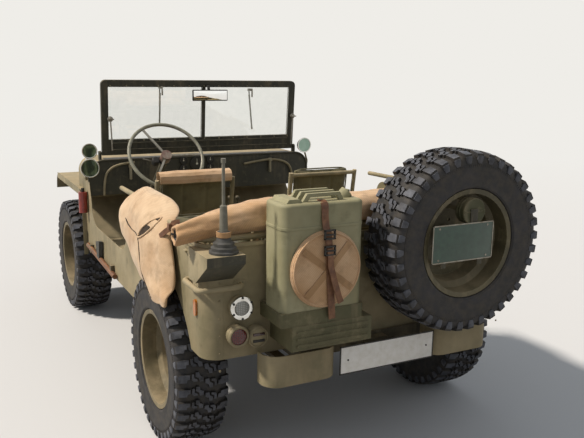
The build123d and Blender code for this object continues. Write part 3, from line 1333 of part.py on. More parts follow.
def make_canvas():
    """Canvas rolled across the back, the bag over the left rail and the folded bucket on the can."""
    x = CAN_BACK + CAN_DEEP + ROLL_R + 2
    reach = SEAT_TUBE_R + ROLL_R + SEAT_GAP
    z = TUB_RAIL + SEAT_TUBE_R + SEAT_GAP + math.sqrt(reach ** 2 - (x - BOW_BACK) ** 2)
    start = 100 - TUB_HALF
    section = [(0, 0), (0, ROLL_R - 24), (16, ROLL_R), (1190, ROLL_R), (1300, ROLL_R - 10), (1400, 36),
               (1410, 0)]
    roll = turned(section, (x, start, z), (0, 1, 0))
    near = TUB_HALF + 3 + SEAT_TUBE_R + 2 * SEAT_GAP
    over = TUB_RAIL + 2 * SEAT_TUBE_R + 3 * SEAT_GAP
    foot = BOX_TOP - 50
    flap = [(640, TUB_RAIL), (655, 880), (500, foot + 42), (330, foot + 8), (40, foot), (-70, foot + 4),
            (-115, TUB_RAIL - 70), (-60, over + 3), (600, over + 3)]
    bag = prism_y(flap, near, near + 38)
    bag += prism_y([(600, over), (540, over + 36), (300, over + 56), (90, over + 46), (-60, over + 8),
                    (-60, over)],
                   TUB_HALF - 60, near + 38)
    back, middle = CAN_BACK - SEAT_GAP, CAN_FOOT + 205
    bucket = rod((back, CAN_Y - 5, middle), (back - BUCKET_THICK, CAN_Y - 5, middle), BUCKET_R)
    return roll + bag + bucket


def main():
    """Write every sub-part."""
    os.makedirs("parts", exist_ok=True)
    save("frame", make_frame())
    save("front_bumper", make_front_bumper())
    save("rear_bumperettes", make_bumperettes())
    save("rear_axle", make_axle(0, False))
    save("front_axle", make_axle(WHEELBASE, True))
    save("suspension", make_suspension())
    save("engine", make_engine())
    save("propshafts", make_propshafts())
    save("exhaust", make_exhaust())
    save("fuel_tank", make_fuel_tank())
    save("radiator", make_radiator())
    save("skid_plate", make_skid_plate())
    save("tow_hook", make_tow_hook())
    save("floor_pan", make_floor())
    save("wheel_boxes", make_wheel_boxes())
    save("tunnel", make_tunnel())
    save("toe_board", make_toe_board())
    save("cowl", make_cowl())
    save("side_panel_left", make_side_panel(1))
    save("side_panel_right", make_side_panel(-1))
    save("rear_panel", make_rear_panel())
    save("fenders", make_fenders())
    save("grille", make_grille())
    save("lamps", make_lamps())
    save("hood", make_hood())
    save("windshield_frame", make_screen_frame())
    save("windshield_glass", make_glass())
    save("steering_column", make_column())
    save("controls", make_controls())
    save("steering_wheel", make_steering_wheel())
    save("seat_frames", seat_frame(SEAT_Y, False) + make_rear_seat_frame())
    save("seat_pads", seat_pads(SEAT_Y) + make_rear_seat_pads())
    save("passenger_seat_frame", seat_frame(TIP_SEAT_Y, True))
    save("passenger_seat_pads", seat_pads(TIP_SEAT_Y))
    save("jerry_can", make_jerry_can())
    save("can_rack", make_can_rack())
    save("spare_carrier", make_carrier())
    save("spare_wheel", make_wheel((SPARE_X, SPARE_Y, SPARE_Z), (-1, 0, 0), hub=False))
    save("spare_tyre", make_tyre((SPARE_X, SPARE_Y, SPARE_Z), (-1, 0, 0)))
    save("number_plates", make_tags())
    save("antenna", make_antenna())
    save("grab_handles", make_handles())
    save("mirrors", make_mirrors())
    save("side_tools", make_side_tools())
    save("top_bows", make_bows())
    save("canvas", make_canvas())
    save("knuckle_left", make_knuckle(1))
    save("knuckle_right", make_knuckle(-1))
    save("tie_rod", make_tie_rod())
    for name, x, side in (("front_left", WHEELBASE, 1), ("front_right", WHEELBASE, -1),
                          ("rear_left", 0, 1), ("rear_right", 0, -1)):
        centre = (x, side * HALF_TRACK, TYRE_R)
        save("wheel_" + name, make_wheel(centre, (0, side, 0)))
        save("tyre_" + name, make_tyre(centre, (0, side, 0)))


if __name__ == "__main__":
    main()
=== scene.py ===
"""An open army 4x4 car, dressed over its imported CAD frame.

Places in the classes are millimetres from the rear axle, as a body fitter would take them:
x forward, y to the car's left, z up from the ground. car() turns them into the frame's metres.
"""

import logging
import math
import random
from collections.abc import Callable, Iterable, Sequence
from dataclasses import dataclass, field
from enum import Enum
from typing import Any, ClassVar

import bmesh
import bpy
from mathutils import Matrix, Vector, noise


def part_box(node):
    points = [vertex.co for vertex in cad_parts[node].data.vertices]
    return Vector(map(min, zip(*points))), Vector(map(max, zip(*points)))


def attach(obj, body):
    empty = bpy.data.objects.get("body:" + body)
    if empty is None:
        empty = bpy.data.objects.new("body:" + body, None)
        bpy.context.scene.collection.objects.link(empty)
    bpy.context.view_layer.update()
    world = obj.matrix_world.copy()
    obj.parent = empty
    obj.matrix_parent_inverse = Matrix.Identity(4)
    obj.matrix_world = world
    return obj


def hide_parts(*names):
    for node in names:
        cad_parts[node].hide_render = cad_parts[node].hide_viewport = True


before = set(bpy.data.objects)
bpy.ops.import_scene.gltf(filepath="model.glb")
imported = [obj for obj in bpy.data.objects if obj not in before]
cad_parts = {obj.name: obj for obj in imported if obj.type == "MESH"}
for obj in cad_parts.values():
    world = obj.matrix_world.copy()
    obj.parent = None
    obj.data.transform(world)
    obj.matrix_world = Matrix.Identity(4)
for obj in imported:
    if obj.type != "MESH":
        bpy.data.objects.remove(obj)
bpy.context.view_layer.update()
REAR_AXLE = sum(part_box("wheel_rear_left"), Vector()) / 2

LOG = logging.getLogger("army_car")
# A wave texture of this scale repeats every millimetre
WAVE = 314.16
# The creases' noise starts from this seed, so that they come out the same each run
CREASES = 7
BACK, AHEAD, LEFT, UP = Vector((-1, 0, 0)), Vector((1, 0, 0)), Vector((0, 1, 0)), Vector((0, 0, 1))
Pair = tuple[float, float]
# A Vector is in metres already; a tuple is in car millimetres
Place = Vector | tuple[float, float, float]
Faces = list[bmesh.types.BMFace]
Socket = bpy.types.NodeSocket


def car(x: float, y: float, z: float) -> Vector:
    """A place on the car, from millimetres off the rear axle to the frame's metres."""
    return Vector((REAR_AXLE.x + x / 1000, y / 1000, z / 1000))


def at(x: float) -> float:
    """A millimetre place along the car, as the frame's x."""
    return car(x, 0, 0).x


def spot(place: Place) -> Vector:
    """Any place in the frame's metres."""
    return place if isinstance(place, Vector) else car(*place)


def polar(turn: float, reach: float = 1.0) -> Pair:
    """The two sides of a step of some reach along a turn in radians."""
    return reach * math.cos(turn), reach * math.sin(turn)


def linear(colour: str, alpha: float = 1.0) -> tuple[float, float, float, float]:
    """Turn an sRGB hex value into the linear colour that shaders take.

    Args:
        colour: hex digits with a leading hash.
        alpha: the fourth value of the colour.

    Returns:
        Red, green, blue and alpha.
    """
    parts = [int(colour[i:i + 2], 16) / 255 for i in (1, 3, 5)]
    red, green, blue = (v / 12.92 if v <= 0.04045 else ((v + 0.055) / 1.055) ** 2.4 for v in parts)
    return red, green, blue, alpha


def add_node(tree: bpy.types.NodeTree, kind: str, inputs: dict[Any, Any] | None = None,
             **settings: Any) -> bpy.types.Node:
    """Add a node with its settings, and feed each input from a socket or a plain value.

    Args:
        tree: the node tree to add to.
        kind: the node's type after the word ShaderNode.
        inputs: values or sockets by input name or number.
        **settings: the node's own properties.

    Returns:
        The new node.
    """
    node = tree.nodes.new("ShaderNode" + kind)
    for name, value in settings.items():
        setattr(node, name, value)
    for key, value in (inputs or {}).items():
        if isinstance(value, Socket):
            tree.links.new(value, node.inputs[key])
        else:
            node.inputs[key].default_value = value
    return node


def straight_rays(tree: bpy.types.NodeTree) -> tuple[Socket, Socket]:
    """Tell apart the rays that are seen from those that only light things.

    Args:
        tree: the node tree to add to.

    Returns:
        1 where the camera looks itself, and 1 where it looks itself, through glass or in a shine.
    """
    path = add_node(tree, "LightPath").outputs
    seen = path["Is Camera Ray"]
    for ray in ("Is Transmission Ray", "Is Glossy Ray"):
        seen = add_node(tree, "Math", {0: seen, 1: path[ray]}, operation="MAXIMUM").outputs[0]
    return path["Is Camera Ray"], seen


class Shading:
    """The patterns that several finishes share, drawn in one material's tree."""

    def __init__(self, material: bpy.types.Material) -> None:
        """Keep the tree, its shader and the piece's own coordinates."""
        self.tree = material.node_tree
        self.shader = self.tree.nodes["Principled BSDF"]
        self.place = add_node(self.tree, "TexCoord").outputs["Object"]
        self.normal = add_node(self.tree, "NewGeometry").outputs["Normal"]

    def stretched(self, x: float, y: float, z: float) -> Socket:
        """Coordinates scaled on each axis, for a pattern with a grain."""
        return add_node(self.tree, "Mapping", {"Vector": self.place, "Scale": (x, y, z)}).outputs[0]

    def mottle(self, size_mm: float, low: float, high: float, detail: float = 4.0,
               place: Socket | None = None) -> Socket:
        """Cloudy patches of a real size.

        Args:
            size_mm: size of a patch.
            low: noise value at which the patch starts.
            high: noise value at which it is full.
            detail: how many finer layers lie over it.
            place: coordinates to draw it on, the object's own if none are given.

        Returns:
            A socket from 0 to 1.
        """
        cloud = add_node(self.tree, "TexNoise", {"Vector": place or self.place, "Scale": 1000 / size_mm,
                                                 "Detail": detail, "Roughness": 0.6})
        return self.between(cloud.outputs[0], low, high)

    def waves(self, pitch_mm: float, way: str, **more: float) -> Socket:
        """Straight waves of a real spacing along an axis."""
        inputs = {"Vector": self.place, "Scale": WAVE / pitch_mm, **more}
        return add_node(self.tree, "TexWave", inputs, bands_direction=way).outputs[1]

    def between(self, value: Socket, low: float, high: float) -> Socket:
        """Ramp a value from 0 at low to 1 at high."""
        inputs = {"Value": value, "From Min": low, "From Max": high}
        return add_node(self.tree, "MapRange", inputs).outputs[0]

    def spread(self, value: Socket, low: float, high: float) -> Socket:
        """Turn a value from 0 to 1 into one from low to high."""
        return add_node(self.tree, "MapRange", {"Value": value, "To Min": low, "To Max": high}).outputs[0]

    def times(self, first: Any, second: Any, work: str = "MULTIPLY") -> Socket:
        """Two values multiplied, or put together by another sum, and kept from 0 to 1."""
        return add_node(self.tree, "Math", {0: first, 1: second}, operation=work, use_clamp=True).outputs[0]

    def blend(self, share: Any, first: Any, second: Any, way: str = "MIX") -> Socket:
        """Mix two colours, given as hex values or sockets, by a share."""
        sides = [linear(c) if isinstance(c, str) else c for c in (first, second)]
        return add_node(self.tree, "Mix", {0: share, 6: sides[0], 7: sides[1]}, data_type="RGBA",
                        blend_type=way).outputs[2]

    def rise(self, vector: Socket, low: float, high: float) -> Socket:
        """Ramp the upright part of a normal or a place."""
        return self.between(add_node(self.tree, "SeparateXYZ", {0: vector}).outputs[2], low, high)

    def worn_edges(self, radius_mm: float) -> tuple[Socket, Socket]:
        """Find the edges that hands and boots rub.

        Args:
            radius_mm: how far from an edge the rubbing reaches.

        Returns:
            The normal of a rounded edge, and how near a point is to such an edge.
        """
        rounded = add_node(self.tree, "Bevel", {"Radius": radius_mm / 1000}, samples=4).outputs[0]
        turn = add_node(self.tree, "VectorMath", {0: rounded, 1: self.normal}, operation="DOT_PRODUCT")
        return rounded, self.between(turn.outputs["Value"], 0.985, 0.86)

    def relief(self, height: Socket, depth_mm: float, strength: float = 0.6,
               normal: Socket | None = None) -> Socket:
        """A bumped normal from a height pattern.

        Args:
            height: the pattern, from 0 to 1.
            depth_mm: how deep it is.
            strength: how much of it shows.
            normal: the normal that it lies on, the face's own if none is given.

        Returns:
            The normal.
        """
        inputs = {"Height": height, "Distance": depth_mm / 1000, "Strength": strength}
        if normal:
            inputs["Normal"] = normal
        return add_node(self.tree, "Bump", inputs).outputs[0]

    def finish(self, **sockets: Any) -> None:
        """Set the shader's own sockets.

        Args:
            **sockets: values or other sockets, by the socket's name with underscores.
        """
        for name, value in sockets.items():
            socket = self.shader.inputs[name.replace("_", " ")]
            if isinstance(value, Socket):
                self.tree.links.new(value, socket)
            else:
                socket.default_value = value


class Finish:
    """A finish that makes its material the first time it is asked for."""

    name: str
    made: ClassVar[dict[str, bpy.types.Material]] = {}

    def material(self) -> bpy.types.Material:
        """The finish's material."""
        if self.name not in Finish.made:
            material = bpy.data.materials.new(self.name)
            material.use_nodes = True
            Finish.made[self.name] = material
            self.shade(Shading(material))
        return Finish.made[self.name]

    def shade(self, paint: Shading) -> None:
        """Draw the finish; each kind does it its own way."""
        raise NotImplementedError


@dataclass(frozen=True)
class FieldPaint(Finish):
    """Matte alkyd field paint, brushed on sheet steel: chalky, dusty on top, rubbed at its edges."""

    name: str
    fresh: str
    faded: str
    dust: str = "#b9a685"
    rubbed: str = "#9a8e70"
    dusty: float = 0.62
    worn: float = 0.55
    rough: float = 0.58
    streaks: float = 0.35

    def shade(self, paint: Shading) -> None:
        """Patches of fading, streaks down the panels, dust where it settles and rubbed edges."""
        edge_normal, edge = paint.worn_edges(3.0)
        colour = paint.blend(paint.mottle(260, 0.38, 0.66), self.fresh, self.faded)
        colour = paint.blend(paint.times(paint.mottle(38, 0.55, 0.75, 6.0), 0.35), colour, self.rubbed)
        runs = paint.mottle(60, 0.52, 0.74, 5.0, paint.stretched(1.0, 1.0, 0.14))
        colour = paint.blend(paint.times(runs, self.streaks), colour, self.dust)
        grime = paint.times(paint.mottle(90, 0.58, 0.74), 0.45)
        colour = paint.blend(grime, colour, self.fresh, "MULTIPLY")
        # Dust settles on faces that look up, and is thrown to about 0.8 m above the ground
        settled = paint.times(paint.rise(paint.normal, 0.2, 0.95), paint.mottle(75, 0.2, 0.62, 5.0))
        thrown = paint.times(paint.rise(paint.place, 0.82, 0.25), paint.mottle(120, 0.3, 0.72, 5.0))
        lying = paint.times(paint.times(settled, thrown, "MAXIMUM"), self.dusty)
        colour = paint.blend(lying, colour, self.dust)
        chipped = paint.times(edge, paint.mottle(14, 0.42, 0.58, 5.0))
        colour = paint.blend(paint.times(chipped, self.worn), colour, self.rubbed)
        brushed = paint.mottle(2.6, 0.2, 0.8, 2.0, paint.stretched(1.0, 1.0, 0.6))
        paint.finish(Base_Color=colour, Roughness=paint.spread(lying, self.rough, 0.9),
                     Specular_IOR_Level=0.35, Normal=paint.relief(brushed, 0.5, 0.35, edge_normal))


@dataclass(frozen=True)
class MouldedRubber(Finish):
    """Tyre rubber, moulded and weathered: near black with blue-grey patches, partly bloom and partly a
    painted sheen of sun and sky, and dust in its hollows.
    """

    name: str
    black: str = "#26272b"
    # The default blue-grey is painted sheen: the sun and the sky's reflection on the lug tops
    bloom_and_sheen: str = "#555963"
    dust: str = "#83848a"
    dusty: float = 0.35

    def shade(self, paint: Shading) -> None:
        """Bloom and painted sheen in patches, road dust between the lugs, and a fine moulded grain."""
        colour = paint.blend(paint.mottle(70, 0.35, 0.7, 5.0), self.black, self.bloom_and_sheen)
        dirt = paint.times(paint.mottle(34, 0.4, 0.72, 6.0), self.dusty)
        grain = paint.mottle(2.2, 0.25, 0.75, 3.0)
        paint.finish(Base_Color=paint.blend(dirt, colour, self.dust), Roughness=0.66, Specular_IOR_Level=0.4,
                     Normal=paint.relief(grain, 0.4, 0.3))


@dataclass(frozen=True)
class WovenCanvas(Finish):
    """Cotton duck, woven: a matt thread grid with soft folds, sun-bleached and stained.

    The real thread spacing is under 1 mm, which doesn't show, so the weave is drawn every 5 mm.
    """

    name: str
    cloth: str
    bleached: str
    stain: str
    thread_mm: float = 5.0
    fold_mm: float = 70.0
    fold_deep: float = 5.0

    def shade(self, paint: Shading) -> None:
        """Threads both ways, folds, and faded and stained patches."""
        weave = paint.times(*(paint.waves(self.thread_mm, way, Distortion=0.6, Detail=1.0)
                              for way in ("Z", "DIAGONAL")))
        colour = paint.blend(paint.mottle(190, 0.35, 0.68), self.cloth, self.bleached)
        colour = paint.blend(paint.times(paint.mottle(60, 0.52, 0.74, 6.0), 0.5), colour, self.stain)
        colour = paint.blend(paint.times(paint.between(weave, 0.35, 0.0), 0.22), colour, self.stain)
        folds = paint.mottle(self.fold_mm, 0.25, 0.75, 2.0, paint.stretched(1.0, 0.55, 1.3))
        soft = paint.relief(folds, self.fold_deep, 0.8)
        paint.finish(Base_Color=colour, Roughness=0.92, Specular_IOR_Level=0.15, Sheen_Weight=0.25,
                     Sheen_Roughness=0.6, Normal=paint.relief(weave, 0.8, 0.45, soft))


@dataclass(frozen=True)
class PlainSurface(Finish):
    """A small fitting's surface: one material with patchy wear, from glass to iron, by its values."""

    name: str
    colour: str
    second: str
    rough: float = 0.5
    metal: float = 0.0
    through: float = 0.0
    patch_mm: float = 30.0
    grain_mm: float = 3.0
    grain_deep: float = 0.25
    coat: float = 0.0

    def shade(self, paint: Shading) -> None:
        """Two tones in patches with a fine grain."""
        colour = paint.blend(paint.mottle(self.patch_mm, 0.38, 0.68, 5.0), self.colour, self.second)
        grain = paint.mottle(self.grain_mm, 0.25, 0.75, 3.0)
        rough = paint.spread(paint.mottle(self.patch_mm * 0.6, 0.3, 0.7), self.rough * 0.85,
                             min(1, self.rough * 1.25))
        paint.finish(Base_Color=colour, Roughness=rough, Metallic=self.metal,
                     Transmission_Weight=self.through, Coat_Weight=self.coat,
                     Normal=paint.relief(grain, self.grain_deep, 0.4))


@dataclass(frozen=True)
class ReededGlass(Finish):
    """Pressed lens glass with fine prisms on its back, drawn as a grid of 7 mm."""

    name: str
    colour: str
    deep: str
    pitch_mm: float = 7.0
    through: float = 0.35

    def shade(self, paint: Shading) -> None:
        """A prism grid that darkens the colour between its ribs."""
        prisms = paint.times(paint.waves(self.pitch_mm, "Z"), paint.waves(self.pitch_mm, "Y"))
        paint.finish(Base_Color=paint.blend(prisms, self.deep, self.colour), Roughness=0.18, Coat_Weight=0.2,
                     Transmission_Weight=self.through, Normal=paint.relief(prisms, 0.8, 0.5))


@dataclass(frozen=True)
class SplitAsh(Finish):
    """Ash, turned and oiled: long grain every 9 mm along the handle, greyed by weather."""

    name: str = "oiled_ash"
    pale: str = "#8a5f3e"
    dark: str = "#4f2f1e"

    def shade(self, paint: Shading) -> None:
        """Streaks of grain along x."""
        grain = paint.mottle(9, 0.3, 0.7, 6.0, paint.stretched(0.08, 1.0, 1.0))
        paint.finish(Base_Color=paint.blend(grain, self.dark, self.pale), Roughness=0.55,
                     Normal=paint.relief(grain, 0.4, 0.4))


class Coat(Enum):
    """The car's finishes by where they are used."""

    # Brushed paint on steel: matt and chalky, darker where it is fresh, pale where hands rub it
    OLIVE = FieldPaint("olive_field_paint", "#777056", "#9e9376")
    DARK = FieldPaint("dark_chassis_paint", "#36342a", "#4a4738", dusty=0.5, rubbed="#6d6450")
    # Dark screen paint on the windshield frame; the same colour is painted shade on the dash and inside the
    # aerial bracket's open back
    SCREEN_AND_SHADE = FieldPaint("dark_screen_paint_and_painted_shade", "#2f2f27", "#3f3e33", dusty=0.28, rubbed="#7c745e",
                        streaks=0.15)
    CAN = FieldPaint("green_can_paint", "#8a8769", "#aaa687", dust="#a89c78", dusty=0.35, rubbed="#8f8f70")
    HOLDER = FieldPaint("dark_holder_paint", "#45462f", "#5c5a40", dusty=0.35)
    WHEEL = FieldPaint("wheel_enamel", "#4c4836", "#6a634a", dusty=0.5, rough=0.5, rubbed="#a3977a",
                       worn=0.85)
    RUBBED = FieldPaint("rubbed_olive_paint", "#77705a", "#978d70", worn=0.9)
    WORN = FieldPaint("pale_worn_paint", "#8d8770", "#a9a189", worn=0.9)
    # Moulded rubber: a dull near-black, duller still where dust lies in the grooves; the lug tops take a
    # lighter coat whose blue-grey is a painted sheen of sun and sky
    RUBBER_AND_SHEEN = MouldedRubber("moulded_rubber_and_painted_sheen")
    GROOVES = MouldedRubber("dusty_rubber", black="#151515", bloom_and_sheen="#26262a", dust="#4d463c", dusty=0.5)
    AERIAL = MouldedRubber("aerial_rubber", black="#2c2c2a", bloom_and_sheen="#4b4a44", dusty=0.2)
    TAN = PlainSurface("tan_rubber", "#b08a61", "#8f6e4b", rough=0.7)
    # Woven duck and webbing: matt, with threads and folds that catch the light from the side
    CANVAS = WovenCanvas("tan_canvas", "#cba276", "#e8c6a0", "#8c6a4a")
    BAG = WovenCanvas("bag_canvas", "#c7a47e", "#e3c9a8", "#8d7050", fold_mm=90)
    SEAT = WovenCanvas("seat_duck", "#5f5a3e", "#7b7453", "#3f3b2a", fold_mm=120, fold_deep=2.0)
    PACK = WovenCanvas("pack_duck", "#57563e", "#6d6a4d", "#3b3828", fold_mm=60, fold_deep=4.0)
    WEBBING = WovenCanvas("pale_webbing", "#b08a60", "#c9a279", "#6f5238", thread_mm=4, fold_mm=40,
                          fold_deep=1.0)
    # Painted shade: a near-black brown for the inside of the bag's mouth and the shadow line along its flap
    PAINTED_SHADE = PlainSurface("shaded_lining", "#2a2118", "#3a2d20", rough=0.95)
    # Tanned leather: a half-matt brown with a visible grain
    LEATHER = PlainSurface("harness_leather", "#5c3a25", "#8a6244", rough=0.55, grain_mm=4, grain_deep=0.5)
    # Bare and plated metals, from a sharp mirror to a dull sandy casting
    CHROME = PlainSurface("chrome_plate", "#d9d9d6", "#c2c0b8", rough=0.16, metal=1.0, grain_deep=0.05)
    STEEL = PlainSurface("bare_steel", "#8d8a82", "#6d675c", rough=0.42, metal=1.0)
    # Blackened steel; also painted shade inside the canvas roll's open end
    BLACK = PlainSurface("blackened_steel_and_painted_shade", "#1c1b19", "#2c2a26", rough=0.5, metal=0.3)
    IRON = PlainSurface("cast_iron", "#4c4d4a", "#3a3833", rough=0.7, metal=0.2, grain_mm=5, grain_deep=0.8)
    RUST = PlainSurface("rusty_steel", "#6b4630", "#3f2f27", rough=0.85, grain_mm=6, grain_deep=0.8)
    CORE = PlainSurface("radiator_core", "#1d1d1d", "#2b2a28", rough=0.6, metal=0.4)
    # Baked enamels and moulded plastics: smooth, with a soft shine
    WHITE = PlainSurface("white_plate_enamel", "#f4f3ef", "#e4e2da", rough=0.35, grain_deep=0.1, coat=0.3)
    GREEN = PlainSurface("green_plate_enamel", "#1d3a2e", "#29493a", rough=0.35, grain_deep=0.1, coat=0.3)
    RED_PAINT = PlainSurface("red_enamel", "#8d2c22", "#6f2119", rough=0.35, coat=0.3)
    WHIP = PlainSurface("painted_rod", "#77756a", "#5f5d50", rough=0.5)
    RIM = PlainSurface("worn_wheel_rim", "#8b8a78", "#6c6a5a", rough=0.45)
    HUB = PlainSurface("horn_button", "#6e5148", "#8d867a", rough=0.5)
    DIAL_BLACK = PlainSurface("dial_black", "#22221f", "#2d2c28", rough=0.35)
    DIAL = PlainSurface("dial_face", "#e4e0d0", "#cfc9b4", rough=0.4, grain_deep=0.1)
    # Glass: clear panes, silvered mirrors, and pressed lenses that break the light up
    GLASS = PlainSurface("window_glass", "#f6f9f7", "#f1f5f3", rough=0.02, through=1.0, grain_deep=0.0)
    MIRROR = PlainSurface("green_mirror_glass", "#8fa69a", "#7f988b", rough=0.05, metal=0.9, grain_deep=0.0)
    SILVERED = PlainSurface("silvered_glass", "#fbfbfa", "#f4f5f3", rough=0.04, metal=1.0, grain_deep=0.0)
    MASK_RED = PlainSurface("blackout_glass", "#3b0e0b", "#2a0a09", rough=0.25, coat=0.4)
    CLEAR_LENS = ReededGlass("clear_lens", "#eeeeea", "#a9aaa4")
    RED_LENS = ReededGlass("red_lens", "#8c0d0a", "#3c0504", through=0.1)
    AMBER_LENS = ReededGlass("amber_lens", "#ee9d22", "#b4620f", pitch_mm=5.0, through=0.2)
    # Oiled ash: warm brown streaks along the handle
    ASH = SplitAsh()

    @property
    def material(self) -> bpy.types.Material:
        """The finish's material."""
        return self.value.material()


class Work:
    """One mesh in the making, with the shaping jobs that the sub-assemblies share."""

    def __init__(self) -> None:
        """Start an empty mesh; what is added takes the finish whose number is set."""
        self.bm = bmesh.new()
        self.number = 0

    def added(self, before: set[bmesh.types.BMFace]) -> Faces:
        """The faces newer than before, each given the number that is set."""
        new = [f for f in self.bm.faces if f not in before]
        for face in new:
            face.material_index = self.number
        return new

    def round_off(self, edges: Iterable[bmesh.types.BMEdge], width_mm: float) -> None:
        """Round edges off to a width."""
        bmesh.ops.bevel(self.bm, geom=list(edges), offset=width_mm / 1000, segments=2, profile=0.5,
                        affect="EDGES", material=-1, clamp_overlap=True)

    def ring(self, section: Sequence[Pair], centre: Place, axis: Vector, steps: int = 48,
             closed: bool = True) -> None:
        """Turn a section about an axis.

        Args:
            section: (distance along the axis, radius) in millimetres.
            centre: where distance 0 lies.
            axis: direction of the axis.
            steps: facets round the turn.
            closed: join the section's last point to its first.
        """
        bm, centre, axis = self.bm, spot(centre), axis.normalized()
        side = axis.orthogonal().normalized()
        before, faces = set(bm.verts), set(bm.faces)
        line = [bm.verts.new(centre + axis * (a / 1000) + side * (r / 1000)) for a, r in section]
        pairs = list(zip(line, line[1:])) + ([(line[-1], line[0])] if closed else [])
        edges = [bm.edges.new(pair) for pair in pairs]
        bmesh.ops.spin(bm, geom=line + edges, cent=centre, axis=axis, angle=math.tau, steps=steps,
                       use_merge=True, use_duplicate=False)
        bmesh.ops.remove_doubles(bm, verts=[v for v in bm.verts if v not in before], dist=1e-6)
        self.added(faces)

    def rod(self, section: Sequence[Pair], centre: Place, axis: Vector, steps: int = 24) -> None:
        """Turn an open section whose two ends lie on the axis."""
        self.ring(section, centre, axis, steps, closed=False)

    def plate(self, outline: Iterable[Vector], thick: Vector, bevel_mm: float = 0.0) -> Faces:
        """Pull a flat outline into a plate, with its rims rounded if asked.

        Args:
            outline: corners of one side, in metres.
            thick: how far and which way the other side lies.
            bevel_mm: width of the rounded rim.

        Returns:
            The plate's faces.
        """
        bm, before = self.bm, set(self.bm.faces)
        face = bm.faces.new([bm.verts.new(p) for p in outline])
        pulled = bmesh.ops.extrude_face_region(bm, geom=[face], use_keep_orig=True)["geom"]
        bmesh.ops.translate(bm, verts=[v for v in pulled if isinstance(v, bmesh.types.BMVert)], vec=thick)
        if bevel_mm:
            self.round_off({e for f in set(bm.faces) - before for e in f.edges}, bevel_mm)
        return self.added(before)

    def brick(self, low: Place, high: Place, bevel_mm: float = 1.0) -> None:
        """A block with rounded edges.

        Args:
            low: its lowest corner.
            high: its highest corner.
            bevel_mm: width of the rounded edges.
        """
        low, high, before = spot(low), spot(high), set(self.bm.faces)
        made = bmesh.ops.create_cube(self.bm, size=1.0)["verts"]
        bmesh.ops.scale(self.bm, vec=high - low, verts=made)
        bmesh.ops.translate(self.bm, vec=(high + low) / 2, verts=made)
        if bevel_mm:
            self.round_off({e for v in made for e in v.link_edges}, bevel_mm)
        self.added(before)

    def loft(self, rings: Sequence[Sequence[Vector]]) -> None:
        """Join rings of equal count into one closed skin.

        Args:
            rings: the corners of each ring, all starting at the same side.
        """
        loops = []
        for ring in rings:
            verts = [self.bm.verts.new(p) for p in ring]
            loops.append([self.bm.edges.new(pair) for pair in zip(verts, verts[1:] + verts[:1])])
        for first, second in zip(loops, loops[1:]):
            bmesh.ops.bridge_loops(self.bm, edges=first + second)
        for loop in (loops[0], loops[-1]):
            bmesh.ops.holes_fill(self.bm, edges=loop, sides=0)

    def ribbon(self, route: Sequence[Place], normal: Vector, width_mm: float, thick_mm: float) -> None:
        """A flat strap along a route.

        Args:
            route: the places it runs through.
            normal: which way the strap's face looks.
            width_mm: the strap's width.
            thick_mm: its thickness, laid outwards.
        """
        bm, before = self.bm, set(self.bm.faces)
        line = [spot(p) for p in route]
        pair: list[bmesh.types.BMVert] = []
        edge = None
        for n, point in enumerate(line):
            ahead = line[min(n + 1, len(line) - 1)] - line[max(n - 1, 0)]
            side = ahead.cross(normal).normalized() * (width_mm / 2000)
            if edge is None:
                pair = [bm.verts.new(point - side), bm.verts.new(point + side)]
                edge = bm.edges.new(pair)
                continue
            made = bmesh.ops.extrude_edge_only(bm, edges=[edge])["geom"]
            ends = [v for v in made if isinstance(v, bmesh.types.BMVert)]
            edge = next(e for e in made if isinstance(e, bmesh.types.BMEdge) and set(e.verts) == set(ends))
            ends.sort(key=lambda v: (v.co - pair[0].co).length)
            ends[0].co, ends[1].co = point - side, point + side
            pair = ends
        faces = [f for f in bm.faces if f not in before]
        bmesh.ops.recalc_face_normals(bm, faces=faces)
        if faces[0].normal.dot(normal) > 0:
            bmesh.ops.reverse_faces(bm, faces=faces)
        bmesh.ops.solidify(bm, geom=faces, thickness=thick_mm / 1000)
        self.added(before)

    def bolts(self, places: Iterable[Place], axis: Vector, across_mm: float = 12.0, high_mm: float = 5.0,
              sides: int = 6) -> None:
        """Bolt or rivet heads standing on a face.

        Args:
            places: the middle of each head's foot.
            axis: which way they stand out.
            across_mm: a head's width.
            high_mm: its height.
            sides: its number of sides.
        """
        before = set(self.bm.faces)
        turn = axis.to_track_quat("Z", "Y").to_matrix().to_4x4()
        for place in places:
            bmesh.ops.create_cone(self.bm, cap_ends=True, segments=sides, radius1=across_mm / 2000,
                                  radius2=across_mm / 2300, depth=high_mm / 1000,
                                  matrix=Matrix.Translation(spot(place) + axis * (high_mm / 2000)) @ turn)
        self.added(before)

    def divide(self, shortest: float, cuts: int) -> None:
        """Cut every edge longer than a length in metres, so that the mesh can crease."""
        long = [e for e in self.bm.edges if e.calc_length() > shortest]
        bmesh.ops.subdivide_edges(self.bm, edges=long, cuts=cuts, use_grid_fill=True)

    def ruffle(self, *creases: tuple[float, float, float],
               verts: Sequence[bmesh.types.BMVert] | None = None) -> None:
        """Push vertices in and out by smooth noise, as cloth creases.

        Args:
            *creases: the size and depth of each kind of crease in millimetres, and its seed.
            verts: the vertices that move, all of them if none are given.
        """
        for size_mm, deep_mm, seed in creases:
            for vert in self.bm.verts if verts is None else verts:
                where = vert.co * (1000 / size_mm) + Vector((seed, seed * 1.7, -seed))
                vert.co += noise.noise_vector(where) * (deep_mm / 1000)

    def make(self, name: str, coats: Sequence[Coat]) -> bpy.types.Object:
        """Turn the finished mesh into an object.

        Args:
            name: the object's name.
            coats: finishes by material number.

        Returns:
            The new object.
        """
        bmesh.ops.recalc_face_normals(self.bm, faces=self.bm.faces)
        mesh = bpy.data.meshes.new(name)
        self.bm.to_mesh(mesh)
        self.bm.free()
        mesh.shade_smooth()
        for coat in coats:
            mesh.materials.append(coat.material)
        made = bpy.data.objects.new(name, mesh)
        bpy.context.scene.collection.objects.link(made)
        return made

